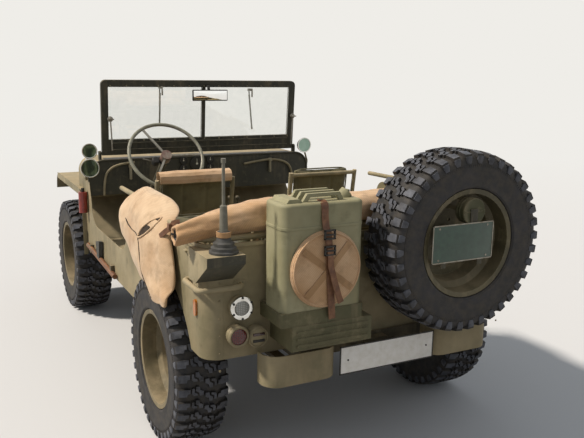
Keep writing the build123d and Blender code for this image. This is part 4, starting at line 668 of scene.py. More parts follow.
    def piece(self, name: str, coats: Sequence[Coat], slot: str = "olive_paint", body: str = "car",
              replaces: Sequence[str] = (), sharp: float = 38.0) -> bpy.types.Object:
        """Turn the finished mesh into a hard piece that rides on a body.

        Args:
            name: the piece's name.
            coats: finishes by material number.
            slot: not used.
            body: the CAD body that it rides on.
            replaces: CAD nodes that it stands for.
            sharp: angle in degrees above which an edge stays sharp.

        Returns:
            The new object.
        """
        made = self.make(name, coats)
        made.data.set_sharp_from_angle(angle=math.radians(sharp))
        return register(made, body, replaces)


def register(made: bpy.types.Object, body: str = "car",
             replaces: Sequence[str] = ()) -> bpy.types.Object:
    """Let an object ride on a body, and hide the CAD nodes that it stands for.

    Args:
        made: the object.
        body: the CAD body that it rides on.
        replaces: CAD nodes that it stands for.

    Returns:
        The same object.
    """
    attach(made, body)
    if replaces:
        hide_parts(*replaces)
    LOG.info("%s rides on %s", made.name, body)
    return made


def stuffed(soft: bpy.types.Object, body: str = "car",
            replaces: Sequence[str] = ()) -> None:
    """Round a soft object off and let it ride on a body.

    Args:
        soft: the object.
        body: the CAD body that it rides on.
        replaces: CAD nodes that it stands for.
    """
    skin = soft.modifiers.new("skin", "SUBSURF")
    skin.levels = skin.render_levels = 1
    register(soft, body, replaces)


def pipe(name: str, places: Sequence[Place], radius_mm: float, coat: Coat,
         body: str = "car", smooth: bool = False) -> None:
    """A round wire or tube through places on the car.

    Args:
        name: the piece's name.
        places: its route.
        radius_mm: its radius.
        coat: its finish.
        body: the CAD body that it rides on.
        smooth: follow the places as a curve and not as straight runs.
    """
    curve = bpy.data.curves.new(name, "CURVE")
    curve.dimensions = "3D"
    curve.bevel_depth = radius_mm / 1000
    curve.bevel_resolution = 3
    curve.use_fill_caps = True
    line = curve.splines.new("NURBS" if smooth else "POLY")
    line.points.add(len(places) - 1)
    for knot, place in zip(line.points, places):
        knot.co = (*spot(place), 1.0)
    if smooth:
        line.order_u = 3
        line.use_endpoint_u = True
    curve.materials.append(coat.material)
    made = bpy.data.objects.new(name, curve)
    bpy.context.scene.collection.objects.link(made)
    register(made, body)


@dataclass
class Tyre:
    """A mud-pattern tyre: carcass, lugs and ribs in the CAD tyre's own size."""

    radius: float = 370.0
    crown: float = 358.5
    pitches: int = 38
    ribs: int = 190
    # (across, from the axle) down one half of the casing, and inside it
    section: Sequence[Pair] = (
        (76, 203.5), (92, 206.5), (95.2, 221), (104, 225), (106, 229), (107.6, 230), (108.4, 236),
        (107.4, 240), (109.6, 262), (111.2, 290), (111.4, 306), (110.4, 318), (109, 320), (108.6, 330),
        (106.5, 338), (101, 347), (90, 353.5), (60, 357.5), (0, 358.5))
    lining: Sequence[Pair] = ((0, 345), (70, 342), (92, 325), (98, 280), (82, 224))
    # (along, across) on the flat tread, and (along, from the axle) on the wall
    shoulder: Sequence[Pair] = ((-17, 109), (-18, 74), (-5, 71), (-4, 60), (15, 58), (18, 76), (17, 109))
    centre: Sequence[Sequence[Pair]] = (
        ((-25, 3), (-6, 3), (3, 18), (20, 22), (21, 36), (2, 38), (-8, 24), (-25, 20)),
        ((-21, 30), (-13, 29), (-4, 43), (14, 42), (15, 53), (-10, 54), (-20, 46)))
    foot: Sequence[Pair] = ((-15, 352), (-15, 336), (-11, 322), (10, 322), (15, 338), (15, 352))

    def carcass(self, work: Work) -> None:
        """Spin the section of the casing, with its inner lining, into a closed ring."""
        outer = [(-a, r) for a, r in self.section] + [(a, r) for a, r in reversed(self.section[:-1])]
        inner = [(a, r) for a, r in reversed(self.lining[1:])] + [(-a, r) for a, r in self.lining]
        work.ring(outer + inner, Vector(), LEFT, 120)

    def wrap(self, faces: Faces) -> None:
        """Roll flat faces round the tyre.

        Args:
            faces: what is rolled, modelled as (along, across, height) in metres.
        """
        for vert in {v for f in faces for v in f.verts}:
            along, across, high = vert.co
            drop = max(0.0, abs(across) - 0.058) ** 2 * 3.4
            reach = self.crown / 1000 - drop + high
            upright, level = polar(along / (self.radius / 1000), reach)
            vert.co = Vector((level, across, upright))

    def lug(self, work: Work, outline: Sequence[Pair], shift: float, side: float,
            top: float = 11.4) -> Faces:
        """One rubber block on the flat tread, drawn in a little towards its top.

        Args:
            work: the mesh to add to.
            outline: (along, across) corners in millimetres.
            shift: how far along the tread it stands.
            side: 1 for the left half of the tread, -1 for its turned copy on the right.
            top: height above the casing's crown.

        Returns:
            The block's faces.
        """
        corners = [Vector(((shift + side * a) / 1000, side * c / 1000, -0.004)) for a, c in outline]
        faces = work.plate(corners, Vector((0, 0, (top + 4) / 1000)))
        middle = sum(corners, Vector()) / len(corners)
        crest = [v for v in {v for f in faces for v in f.verts} if v.co.z > 0]
        bmesh.ops.scale(work.bm, verts=crest, vec=(0.9, 0.95, 1.0), space=Matrix.Translation(-middle))
        # The block's top faces take the lighter coat, with the painted sheen of lit lug tops
        for face in faces:
            face.material_index = 1 if all(v in crest for v in face.verts) else 0
        return faces

    def side_lug(self, work: Work, shift: float, side: float) -> None:
        """The foot of a shoulder lug, running down the side wall.

        Args:
            work: the mesh to add to.
            shift: how far along the tread it stands.
            side: 1 for the left wall, -1 for the right.
        """
        corners = []
        for along, high in self.foot:
            upright, level = polar((shift + along) / self.radius, high / 1000)
            corners.append(Vector((level, side * 0.1035, upright)))
        work.plate(corners, Vector((0, side * 0.0082, 0)), 1.2)

    def pattern(self, work: Work) -> None:
        """One pitch of the tread, repeated round the tyre."""
        pitch = math.tau * self.radius / self.pitches
        halves = ((1, 0.0), (-1, pitch / 2))
        before = set(work.bm.verts)
        flat: Faces = []
        for side, shift in halves:
            flat += self.lug(work, self.shoulder, shift, side, 10.6)
            for outline in self.centre:
                flat += self.lug(work, outline, shift + side * 4, side)
        self.wrap(flat)
        # The lugs' feet on the walls take that lighter coat with its painted sheen too
        work.number = 1
        for side, shift in halves:
            self.side_lug(work, shift, side)
        work.number = 0
        self.repeat(work.bm, before, self.pitches)

    def side_ribs(self, work: Work) -> None:
        """The fine ribs that ring both side walls inside the lugs."""
        before = set(work.bm.verts)
        for side in (1, -1):
            work.brick(Vector((-0.0021, side * 0.1085, 0.309)), Vector((0.0021, side * 0.1117, 0.3185)), 0)
        self.repeat(work.bm, before, self.ribs)

    def repeat(self, bm: bmesh.types.BMesh, before: set[bmesh.types.BMVert], count: int) -> None:
        """Copy what was added last round the axle.

        Args:
            bm: the tyre's mesh.
            before: the vertices that are left alone.
            count: how many there are in the end.
        """
        new = [v for v in bm.verts if v not in before]
        parts = set(new) | {e for v in new for e in v.link_edges} | {f for v in new for f in v.link_faces}
        bmesh.ops.spin(bm, geom=list(parts), cent=(0, 0, 0), axis=LEFT, steps=count - 1,
                       angle=math.tau * (count - 1) / count, use_duplicate=True)

    def build(self, name: str, turn: float, body: str) -> None:
        """Make the tyre and put it on its wheel.

        Args:
            name: the CAD node that it replaces.
            turn: angle about the upright axis that faces it outboard.
            body: the body that it rides on.
        """
        work = Work()
        self.carcass(work)
        self.pattern(work)
        self.side_ribs(work)
        low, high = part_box(name)
        spun = random.Random(name).uniform(0, 6)
        bmesh.ops.transform(work.bm, verts=work.bm.verts, matrix=Matrix.Translation((low + high) / 2)
                            @ Matrix.Rotation(turn, 4, "Z") @ Matrix.Rotation(spun, 4, "Y"))
        work.piece("tread_" + name, [Coat.GROOVES, Coat.RUBBER_AND_SHEEN], "tyre_rubber", body, [name], sharp=30)


@dataclass
class Wheels:
    """The five tyres on their wheels."""

    tyre: Tyre = field(default_factory=Tyre)

    def build(self) -> None:
        """A tyre for each wheel and the spare."""
        for place in ("front_left", "front_right", "rear_left", "rear_right"):
            self.tyre.build("tyre_" + place, 0.0 if place.endswith("left") else math.pi, "wheel_" + place)
        self.tyre.build("spare_tyre", math.pi / 2, "car")


class NodeCoats:
    """Finishes of the CAD nodes, whole or face by face."""

    whole: ClassVar[dict[Coat, str]] = {
        Coat.DARK: "frame rear_axle front_axle suspension propshafts fuel_tank skid_plate tow_hook "
                   "steering_column knuckle_left knuckle_right tie_rod controls",
        Coat.OLIVE: "front_bumper rear_bumperettes floor_pan wheel_boxes tunnel toe_board cowl "
                    "side_panel_left side_panel_right rear_panel fenders grille hood grab_handles "
                    "spare_carrier top_bows seat_frames passenger_seat_frame mirrors antenna number_plates "
                    "side_tools lamps",
        Coat.SCREEN_AND_SHADE: "windshield_frame",
        Coat.CAN: "jerry_can",
        Coat.HOLDER: "can_rack",
        Coat.WHEEL: "spare_wheel wheel_front_left wheel_front_right wheel_rear_left wheel_rear_right",
        Coat.GLASS: "windshield_glass",
        Coat.IRON: "engine",
        Coat.RUST: "exhaust",
        Coat.CORE: "radiator",
        Coat.STEEL: "steering_wheel",
        Coat.RUBBER_AND_SHEEN: "spare_tyre tyre_front_left tyre_front_right tyre_rear_left tyre_rear_right",
        Coat.SEAT: "seat_pads passenger_seat_pads",
        Coat.CANVAS: "canvas",
    }

    def build(self) -> None:
        """Give every node its finish, then the parts of mixed nodes theirs."""
        for coat, names in self.whole.items():
            for name in names.split():
                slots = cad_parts[name].data.materials
                slots.clear()
                slots.append(coat.material)
        middle = sum(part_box("steering_wheel"), Vector()) / 2
        for name, parts in {
                "mirrors": ((Coat.CHROME, lambda p: p.x < at(1470)),
                            (Coat.MIRROR, lambda p: p.x < at(1434.5))),
                "steering_wheel": ((Coat.RIM, lambda p: (p - middle).length > 0.205),
                                   (Coat.HUB, lambda p: (p - middle).length < 0.042)),
                # The dash, the cowl's back under the windshield, painted dark: painted shade, as it faces
                # away from the sun
                "cowl": ((Coat.SCREEN_AND_SHADE, lambda p: p.x < at(1562) and abs(p.y) < 0.757),),
                "antenna": ((Coat.AERIAL, lambda p: p.z > 0.9852),
                            (Coat.TAN, lambda p: 1.0425 < p.z < 1.0635),
                            (Coat.WHIP, lambda p: p.z > 1.0665),
                            # The aerial bracket's back faces, painted dark: painted shade inside the open
                            # box
                            (Coat.SCREEN_AND_SHADE, lambda p: p.z < 0.984 and p.x < at(-535) and 0.64 < p.y < 0.78)),
                "lamps": ((Coat.AMBER_LENS, lambda p: p.y > 0.7525),
                          (Coat.CLEAR_LENS, lambda p: p.x > at(2380))),
                "side_tools": ((Coat.ASH, lambda p: p.z < 0.57),
                               (Coat.IRON, lambda p: p.z < 0.66 and at(1138) < p.x < at(1234)),
                               (Coat.DARK, lambda p: p.z < 0.572 and min(
                                   abs(p.x - at(x)) for x in (900, 1413)) < 0.0135),
                               (Coat.RED_PAINT, lambda p: p.z > 0.74 and p.y > 0.7585),
                               (Coat.BLACK, lambda p: p.z > 0.879)),
                "number_plates": ((Coat.GREEN, lambda p: p.x < at(-816.5) and p.z > 0.88),
                                  (Coat.WHITE, lambda p: p.x < at(-652.5) and p.z < 0.6))}.items():
            for coat, where in parts:
                self.part(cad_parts[name].data, coat, where)

    def part(self, mesh: bpy.types.Mesh, coat: Coat, where: Callable[[Vector], bool]) -> None:
        """Give another finish to a node's faces in one place.

        Args:
            mesh: the CAD node's mesh.
            coat: the finish.
            where: true for the middle of each face that takes it.
        """
        mesh.materials.append(coat.material)
        for face in mesh.polygons:
            if where(face.center):
                face.material_index = len(mesh.materials) - 1


def keep_shape(made: bpy.types.Object) -> None:
    """Replace an object's mesh by what its modifiers make of it, and drop them."""
    bpy.context.view_layer.update()
    shaped = made.evaluated_get(bpy.context.evaluated_depsgraph_get())
    mesh = bpy.data.meshes.new_from_object(shaped)
    made.modifiers.clear()
    made.data = mesh


def swell(soft: bpy.types.Object, cap_mm: float, pressure: float = 4.0, voxel_mm: float = 7.0,
          frames: int = 20) -> None:
    """Fill a closed soft shape as stuffing does, with a short cloth simulation, and keep the result.

    Args:
        soft: the object, which gets one mesh in place of its own.
        cap_mm: how far a point may move.
        pressure: pressure inside.
        voxel_mm: size of the even mesh that the cloth runs on.
        frames: how long the cloth runs.
    """
    scene = bpy.context.scene
    remesh = soft.modifiers.new("even_mesh", "REMESH")
    remesh.mode = "VOXEL"
    remesh.voxel_size = voxel_mm / 1000
    keep_shape(soft)
    start = [v.co.copy() for v in soft.data.vertices]
    cloth = soft.modifiers.new("filling", "CLOTH")
    cloth.settings.quality = 4
    cloth.settings.use_pressure = True
    cloth.settings.uniform_pressure_force = pressure
    cloth.settings.effector_weights.gravity = 0.0
    cloth.settings.tension_stiffness = 20
    cloth.settings.bending_stiffness = 2
    cloth.point_cache.frame_start = 1
    cloth.point_cache.frame_end = frames
    for moment in range(1, frames + 1):
        scene.frame_set(moment)
    keep_shape(soft)
    for vert, place in zip(soft.data.vertices, start):
        move = vert.co - place
        if move.length > cap_mm / 1000:
            vert.co = place + move.normalized() * (cap_mm / 1000)
    scene.frame_set(1)
    soft.data.shade_smooth()


@dataclass
class CanvasTop:
    """The rolled top across the back, with its pinched end hanging over the left corner."""

    axis_x: float = -474.0
    axis_z: float = 1090.0
    right: float = -648.0
    straight: float = 470.0
    left: float = 846.0
    radius: float = 68.0
    droop: float = 52.0
    sway: float = 6.0
    around: int = 36
    step: float = 14.0
    tied: Sequence[float] = (250.0, -330.0)

    def past(self, y: float) -> float:
        """0 on the straight run, rising to 1 at the hanging end."""
        return max(0.0, (y - self.straight) / (self.left - self.straight))

    def station(self, y: float) -> tuple[float, float, float]:
        """The roll at one place.

        Args:
            y: the place across the car.

        Returns:
            Its centre along the car, its centre's height and its radius.
        """
        past = self.past(y)
        size = self.radius - 33 * past ** 1.15
        size -= sum(5 * math.exp(-((y - tie) / 26) ** 2) for tie in self.tied)
        size *= min(1.0, 0.45 + abs(y - self.right) / 26)
        return self.axis_x - self.sway * past, self.axis_z - self.droop * past ** 1.5, size

    def ring(self, y: float, shrink: float = 1.0, shift: float = 0.0) -> list[Vector]:
        """One crumpled cross-section.

        Args:
            y: the place across the car whose shape it takes.
            shrink: its size against the roll's own.
            shift: how far past that place it stands.

        Returns:
            Its corners.
        """
        x, z, size = self.station(y)
        past = self.past(y)
        points = []
        for n in range(self.around):
            turn = math.tau * n / self.around
            pleat = 1 + (0.03 + 0.11 * past ** 2) * math.sin(5 * turn + y / 190)
            pleat += 0.05 * math.cos(2 * turn + y / 260) + 0.02 * math.sin(9 * turn - y / 70)
            level, upright = polar(turn, size * shrink * pleat)
            points.append(car(x + level, y + shift, z + upright * (0.94 + 0.06 * past)))
        return points

    def roll(self) -> None:
        """The roll, with the inside of its hollow end painted black as painted shade."""
        work = Work()
        steps = [self.right + self.step * n for n in range(int((self.left - self.right) / self.step) + 1)]
        work.loft([self.ring(self.right, 0.4), *(self.ring(y) for y in steps),
                   *(self.ring(self.left, *end) for end in ((0.86, 5), (0.6, -2), (0.5, -26)))])
        work.ruffle((55, 5.0, 3.0), (17, 1.4, 8.0))
        rolled = work.make("canvas_roll", [Coat.CANVAS, Coat.BLACK])
        # Faces just inside the open end take the black coat: painted shade in the hollow
        mouth = car(self.axis_x - self.sway, self.left, self.axis_z - self.droop)
        for face in rolled.data.polygons:
            off = face.center - mouth
            if off.y > -0.03 and math.hypot(off.x, off.z) < 0.0215:
                face.material_index = 1
        stuffed(rolled, replaces=["canvas"])

    def build(self) -> None:
        """The roll and the webbing ties round it."""
        self.roll()
        work = Work()
        for y in self.tied:
            x, z, size = self.station(y)
            rim = [(-11, size + 4), (-11, size + 8), (11, size + 8), (11, size + 4)]
            work.ring(rim, (x, y, z), LEFT, 40)
        work.piece("roll_ties", [Coat.HOLDER], "tan_canvas")


@dataclass
class SideBag:
    """The canvas bag over the left rail: a sloping front, a ridge, and an open mouth at the back."""

    # height, front, ridge along x, back, ridge across y, inner side across y
    levels: Sequence[tuple[float, float, float, float, float, float]] = (
        (1092, 290, 150, 20, 746, 712), (1080, 362, 130, -40, 770, 700), (1048, 430, 95, -110, 800, 698),
        (1012, 470, 60, -160, 822, 740), (960, 492, 30, -196, 836, 767), (900, 470, 14, -224, 844, 767),
        (840, 400, -10, -244, 846, 768), (790, 300, -42, -256, 846, 770), (758, 210, -78, -262, 844, 780),
        (728, 110, -118, -266, 840, 812), (704, -20, -150, -262, 836, 814),
        (688, -140, -180, -250, 830, 816))
    # (x, height) of the open mouth and of the flap's seam, whose dark line is painted shadow
    opening: Sequence[Pair] = ((34, 922), (0, 927), (-40, 952), (-76, 984), (-100, 1016), (-96, 1029),
                               (-64, 1018), (-24, 992), (10, 960), (34, 922))
    seam: Sequence[Pair] = ((440, 1000), (300, 948), (160, 930), (56, 934), (26, 900), (12, 840), (-20, 780),
                            (-70, 732), (-150, 704))

    def ring(self, z: float, front: float, ridge: float, back: float, out: float,
             near: float) -> list[Vector]:
        """One level of the bag: a rounded triangle with its ridge outward.

        Args:
            z: the level's height.
            front: its front end along the car.
            ridge: its ridge along the car.
            back: its back end along the car.
            out: its ridge across the car.
            near: its inner side across the car.

        Returns:
            The level's corners.
        """
        corners = ((front, near), (front + 6, (near + out) / 2 - 8), (front * 0.55 + ridge * 0.45, out - 12),
                   (ridge + 30, out), (ridge - 14, out), (ridge * 0.45 + back * 0.55, (out * 2 + near) / 3),
                   (back, near + 12), (back + 4, near), (back * 0.5 + ridge * 0.5, near - 1),
                   (ridge * 0.5 + front * 0.5, near - 1))
        return [car(x, y, z) for x, y in corners]

    def body(self) -> bpy.types.Object:
        """The bag itself, with creases that run down from its mouth."""
        work = Work()
        work.loft([self.ring(*level) for level in self.levels])
        bmesh.ops.subdivide_edges(work.bm, edges=work.bm.edges, cuts=2, use_grid_fill=True, smooth=0.6)
        outer = [v for v in work.bm.verts if v.co.y > 0.775]
        for vert in outer:
            along = (vert.co.x - at(100)) * 1000
            pull = math.sin(along / 46 + vert.co.z * 9) * 2.6 * min(1.0, abs(along) / 120)
            vert.co.y += pull / 1000
        work.ruffle((80, 7.0, 5.0), (26, 1.8, 2.0), verts=outer)
        bag = work.make("side_bag", [Coat.BAG])
        stuffed(bag)
        return bag

    def laid(self, bag: bpy.types.Object, line: Sequence[Pair], proud_mm: float) -> list[Vector]:
        """Bring a line onto the bag's outer skin.

        Args:
            bag: the bag.
            line: points of (x, height).
            proud_mm: how far the line stands off the skin.

        Returns:
            The line's places.
        """
        found = []
        for x, z in line:
            hit, place, _, _ = bag.ray_cast(car(x, 900, z), -LEFT)
            found.append((place if hit else car(x, 840, z)) + LEFT * (proud_mm / 1000))
        return found

    def build(self) -> None:
        """The bag, its mouth with the curled lip and a dark plate of painted shade inside, the flap's seam
        as a dark line of painted shadow, and its strap to the rail.
        """
        bag = self.body()
        lip = self.laid(bag, self.opening, 3.0)
        work = Work()
        # A dark plate just inside the lip stands for the shade in the bag's mouth
        work.bm.faces.new([work.bm.verts.new(p - LEFT * 0.001) for p in lip[:-1]])
        bmesh.ops.solidify(work.bm, geom=work.bm.faces, thickness=0.002)
        work.piece("bag_mouth_shade", [Coat.PAINTED_SHADE], "tan_canvas")
        pipe("bag_lip", lip, 4.0, Coat.BAG, smooth=True)
        # The seam is a dark cord: painted shadow where the flap meets the back panel
        pipe("bag_seam_shadow", self.laid(bag, self.seam, 0.5), 2.4, Coat.PAINTED_SHADE, smooth=True)
        work = Work()
        work.ribbon([(-150, 800, 960), (-190, 792, 985), (-215, 778, 1004), (-225, 766, 1028),
                     (-225, 740, 1029)], Vector((-0.6, 0.7, 0.3)), 22, 3)
        work.brick((-226, 774, 1000), (-200, 786, 1024), 2)
        work.piece("bag_strap", [Coat.LEATHER], "tan_canvas")


@dataclass
class FoldedBucket:
    """The folded canvas bucket strapped to the back of the can."""

    x: float = -711.6
    y: float = 341.0
    z: float = 915.0
    radius: float = 147.0
    piping: float = 3.4

    def disc(self) -> None:
        """The flat bucket with its piped rims."""
        work, middle = Work(), (self.x, self.y, self.z)
        work.ring([(0, 0.4), (0, 136), (3, 144), (8, self.radius), (13, 145), (17, 137), (18, 118), (21, 84),
                   (22, 48), (22, 18), (22, 0.4)], middle, BACK, 64, closed=False)
        front = [v for v in work.bm.verts if v.co.x < at(self.x - 14)]
        work.ruffle((60, 5.0, 1.0), (22, 1.6, 4.0), verts=front)
        stuffed(work.make("folded_bucket", [Coat.CANVAS]))
        work = Work()
        for along, reach in ((17.0, 139.0), (4.0, 145.5)):
            steps = [polar(math.tau * n / 8, self.piping) for n in range(8)]
            work.ring([(along + a, reach + r) for a, r in steps], middle, BACK, 72)
        work.piece("bucket_piping", [Coat.CANVAS], "tan_canvas")

    def webbing(self) -> None:
        """Two pale webbing straps that cross on the bucket."""
        work = Work()
        for lift, turn in ((0.0, 52), (2.4, -43)):
            upright, level = polar(math.radians(turn))
            way = Vector((0, level, upright))
            work.ribbon([car(self.x - 19 - lift - 5 * (1 - abs(s)), self.y, self.z) + way * (s * 0.14)
                         for s in (-0.93, -0.6, -0.3, 0.0, 0.3, 0.6, 0.93)], BACK, 24, 2)
        work.piece("bucket_webbing", [Coat.WEBBING], "tan_canvas")

    def strap(self) -> None:
        """The leather strap down the can and over the bucket, with its two dark buckles and its tail."""
        work = Work()
        work.ribbon([(-655, 352, 1168), (-692, 352, 1168), (-708, 351, 1165), (-716.5, 350, 1152),
                     (-718, 350, 1112), (-724, 348, 1074), (-737, 346, 1056), (-742, 344, 1012),
                     (-743, 339, 915), (-740, 330, 820), (-736, 324, 776), (-731, 320, 757),
                     (-730, 316, 722)], BACK, 28, 3)
        work.ribbon([(-747, 344, 1000), (-751, 340, 930), (-754, 324, 870), (-757, 306, 812),
                     (-758, 298, 792)], BACK, 24, 3)
        work.piece("bucket_strap", [Coat.LEATHER], "tan_canvas")
        work = Work()
        for z, lean in ((1052, 0.0), (992, -2.0)):
            # The buckle's four bars and its tongue: x, y and height from and to
            for x, x2, y, y2, low, high in ((-752, -744, 322, 370, -19, -12), (-752, -744, 322, 370, 12, 19),
                                            (-752, -744, 322, 329, -19, 19), (-752, -744, 363, 370, -19, 19),
                                            (-754, -747, 322, 370, -3, 3)):
                work.brick((x, y + lean, z + low), (x2, y2 + lean, z + high), 1.6)
        work.piece("strap_buckles", [Coat.BLACK], "steel")

    def build(self) -> None:
        """The bucket, its webbing and its strap."""
        self.disc()
        self.webbing()
        self.strap()


@dataclass
class Plates:
    """The two blank plates, with the small lamp on the spare wheel's bracket."""

    # The middle of each, (across, height), and its width and height
    upper: Pair = (-218.0, 984.0)
    upper_size: Pair = (300.0, 152.0)
    lower: Pair = (0.0, 505.0)
    lower_size: Pair = (452.0, 112.0)

    def blank(self, middle: Pair, size: Pair, x: Pair, rim: tuple[float, float, float],
              bolts: Sequence[Pair], head: tuple[float, float, int]) -> Work:
        """A plate with a raised border and its bolts.

        Args:
            middle: the plate's middle.
            size: its width and height.
            x: its back and front faces along the car.
            rim: the border's face that looks at the car, its width, and how far it stands past the plate.
            bolts: places of the bolts from the middle.
            head: the bolts' width, height and sides.

        Returns:
            The mesh, with the border and the bolts as its second material.
        """
        work, (y, z), (half, high) = Work(), middle, (v / 2 for v in size)
        work.brick((x[0], y - half, z - high), (x[1], y + half, z + high), 0.5)
        work.number = 1
        face, width, past = rim
        half, high = half + past, high + past
        for left, low, right, top in ((-half, -high, half, width - high), (-half, high - width, half, high),
                                      (-half, -high, width - half, high), (half - width, -high, half, high)):
            work.brick((face - 3, y + left, z + low), (face, y + right, z + top), 0.8)
        work.bolts([(x[0], y + side, z + lift) for side, lift in bolts], BACK, *head)
        return work

    def upper_plate(self) -> None:
        """The green plate with its silver rim, standing on the bracket through the spare wheel."""
        corners = [(side, lift) for side in (-118, 118) for lift in (-62, 62)]
        work = self.blank(self.upper, self.upper_size, (-815.6, -813.6), (-813.8, 5, 0), corners,
                          (9, 1.2, 12))
        work.piece("upper_plate", [Coat.GREEN, Coat.STEEL], "plate_paint", replaces=["number_plates"])
        (y, z), high, work = self.upper, self.upper_size[1] / 2, Work()
        for side in (-90, 90):
            work.brick((-813.6, y + side - 12, z - high - 22), (-810, y + side + 12, z + 60))
        work.brick((-813.6, y - 104, z - 12), (-809, y + 104, z + 12))
        work.brick((-813.6, -286, z + high - 6), (-809, -250, 1112))
        work.rod([(0, 0), (0, 15), (154, 15), (154, 0)], (-656, -268, 968), BACK)
        work.piece("plate_bracket", [Coat.DARK], "olive_dark")

    def lamp(self) -> None:
        """The short round lamp over the green plate, with its ribbed side and a bar across its face."""
        work = Work()
        work.rod([(0, 0.3), (0, 46), (4, 52), (10, 52), (12, 50), (20, 50), (22, 52), (26, 52), (28, 50),
                  (44, 50), (46, 54), (54, 54), (56, 51), (54, 47), (52, 30), (51, 0.3)],
                 (-757, -268, 1101), BACK, 48)
        work.brick((-812, -322, 1099), (-807, -214, 1103))
        work.bolts([(-811, -268 + side * 49, 1101) for side in (-1, 1)], BACK, 9, 4)
        work.piece("plate_lamp", [Coat.HOLDER], "plate_paint")

    def build(self) -> None:
        """Both plates and the lamp; the white one stands in a dark frame between the bumperettes."""
        self.upper_plate()
        self.lamp()
        ends = [(-192, 0), (192, 0)]
        work = self.blank(self.lower, self.lower_size, (-653, -650.5), (-650.5, 6, 4), ends, (8, 2.5, 12))
        work.piece("lower_plate", [Coat.WHITE, Coat.BLACK], "plate_paint")
        work = Work()
        for side in (-100, 100):
            work.brick((-650, side - 10, 500), (-540, side + 10, 512))
            work.brick((-651, side - 12, 470), (-648, side + 12, 540))
        work.piece("lower_plate_arms", [Coat.DARK], "olive_dark")


@dataclass
class Seats:
    """Padded covers in the seat frames' own places: cushions that crown and backs that lean."""

    lean: float = -38.0
    rim: float = 4.0
    cloth: Pair = (398.0, 2.4)

    def pad(self, name: str, low: Sequence[float], high: Sequence[float], lean: float = 0.0,
            body: str = "car", replaces: Sequence[str] = (), seams: Sequence[float] = (),
            coat: Coat = Coat.SEAT) -> None:
        """A stuffed cover: its sides pull in between the corners, and its face crowns between the seams.

        Args:
            name: the piece's name.
            low: lowest corner of the space it fills, in car millimetres.
            high: highest corner of that space.
            lean: how far back its top lies behind its foot; 0 is a flat cushion.
            body: the body that it rides on.
            replaces: CAD nodes that it stands for.
            seams: places across the car of its sewn channels.
            coat: its cloth.
        """
        thin = 0 if lean else 2
        wide = [n for n in range(3) if n != thin]
        middle = [(a + b) / 2 for a, b in zip(low, high)]
        half = [(b - a) / 2 * 0.95 for a, b in zip(low, high)]
        work = Work()
        bmesh.ops.create_cube(work.bm, size=2.0)
        bmesh.ops.subdivide_edges(work.bm, edges=work.bm.edges, cuts=13, use_grid_fill=True)
        for vert in work.bm.verts:
            first, second = vert.co[wide[0]], vert.co[wide[1]]
            vert.co[thin] *= 1 - 0.5 * max(abs(first), abs(second)) ** 6
            for axis, along, cross in ((wide[0], first, second), (wide[1], second, first)):
                vert.co[axis] = along * (0.97 + 0.03 * cross ** 2) * math.sqrt(1 - 0.06 * cross ** 6)
            place = [m + h * c for m, h, c in zip(middle, half, vert.co)]
            place[0] += lean * (place[2] - low[2]) / (high[2] - low[2])
            vert.co = car(*place)
        soft = work.make(name, [coat])
        swell(soft, 6.0)
        self.sew(soft, car(*middle), thin, seams)
        stuffed(soft, body, replaces)
        route = self.round_rim(middle, half, wide, lean)
        pipe(name + "_piping", route, self.rim, coat, body, smooth=True)

    def sew(self, soft: bpy.types.Object, middle: Vector, thin: int, seams: Sequence[float]) -> None:
        """Draw the cover in along its sewn channels, and crease it a little.

        Args:
            soft: the cover.
            middle: its middle in metres.
            thin: the axis through its thickness.
            seams: places across the car of its channels.
        """
        for vert in soft.data.vertices:
            pull = sum(math.exp(-((vert.co.y * 1000 - seam) / 7) ** 2) for seam in seams)
            side = 1 if vert.co[thin] > middle[thin] else -1
            vert.co[thin] -= side * 0.0055 * min(1.0, pull)
            vert.co += noise.noise_vector(vert.co * 14) * 0.0022

    def round_rim(self, middle: Sequence[float], half: Sequence[float], wide: Sequence[int],
                  lean: float) -> list[Place]:
        """Where the welted seam runs round a cover, at half its thickness.

        Args:
            middle: the cover's middle in car millimetres.
            half: half its size on each axis.
            wide: the two axes that it is wide on.
            lean: how far back its top lies behind its foot.

        Returns:
            The seam's places.
        """
        points = []
        for n in range(49):
            place = list(middle)
            for axis, part in zip(wide, polar(math.tau * n / 48)):
                place[axis] += half[axis] * 0.985 * math.copysign(abs(part) ** 0.28, part)
            if lean:
                place[0] += lean * (place[2] - middle[2] + half[2]) / (2 * half[2])
            points.append(tuple(place))
        return points

    def back_cover(self) -> None:
        """The tan cloth laid over the top of the driver's seat back."""
        work, (width, thick) = Work(), self.cloth
        line = [car(x, 345, z) for x, z in ((670, 1040), (667, 1058), (671, 1076), (684, 1090), (712, 1097),
                                            (744, 1091), (757, 1066), (762, 1030))]
        work.ribbon(line, Vector((-1, 0, 0.4)), width, thick)
        work.divide(0.012, 9)
        work.ruffle((90, 5.0, 2.0))
        cover = work.piece("back_cover", [Coat.CANVAS], "tan_canvas", sharp=80)

    def build(self) -> None:
        """The front seats, the rear bench and the cloth on the driver's seat back."""
        for name, y, body, node in (("driver", 345, "car", "seat_pads"),
                                    ("passenger", -440, "passenger_seat", "passenger_seat_pads")):
            self.pad(name + "_cushion", (792, y - 223, 750), (1168, y + 223, 811), body=body,
                     replaces=[node], seams=(y - 75, y + 75))
            self.pad(name + "_back", (741, y - 194, 837), (782, y + 194, 1078), self.lean, body,
                     seams=(y - 65, y + 65))
        self.pad("rear_cushion", (-180, -458, 749), (108, 458, 805), seams=(-305, -152, 0, 152, 305))
        self.pad("rear_back", (-241, -408, 831), (-202, 408, 1012), -36, seams=(-272, -136, 0, 136, 272))
        self.back_cover()


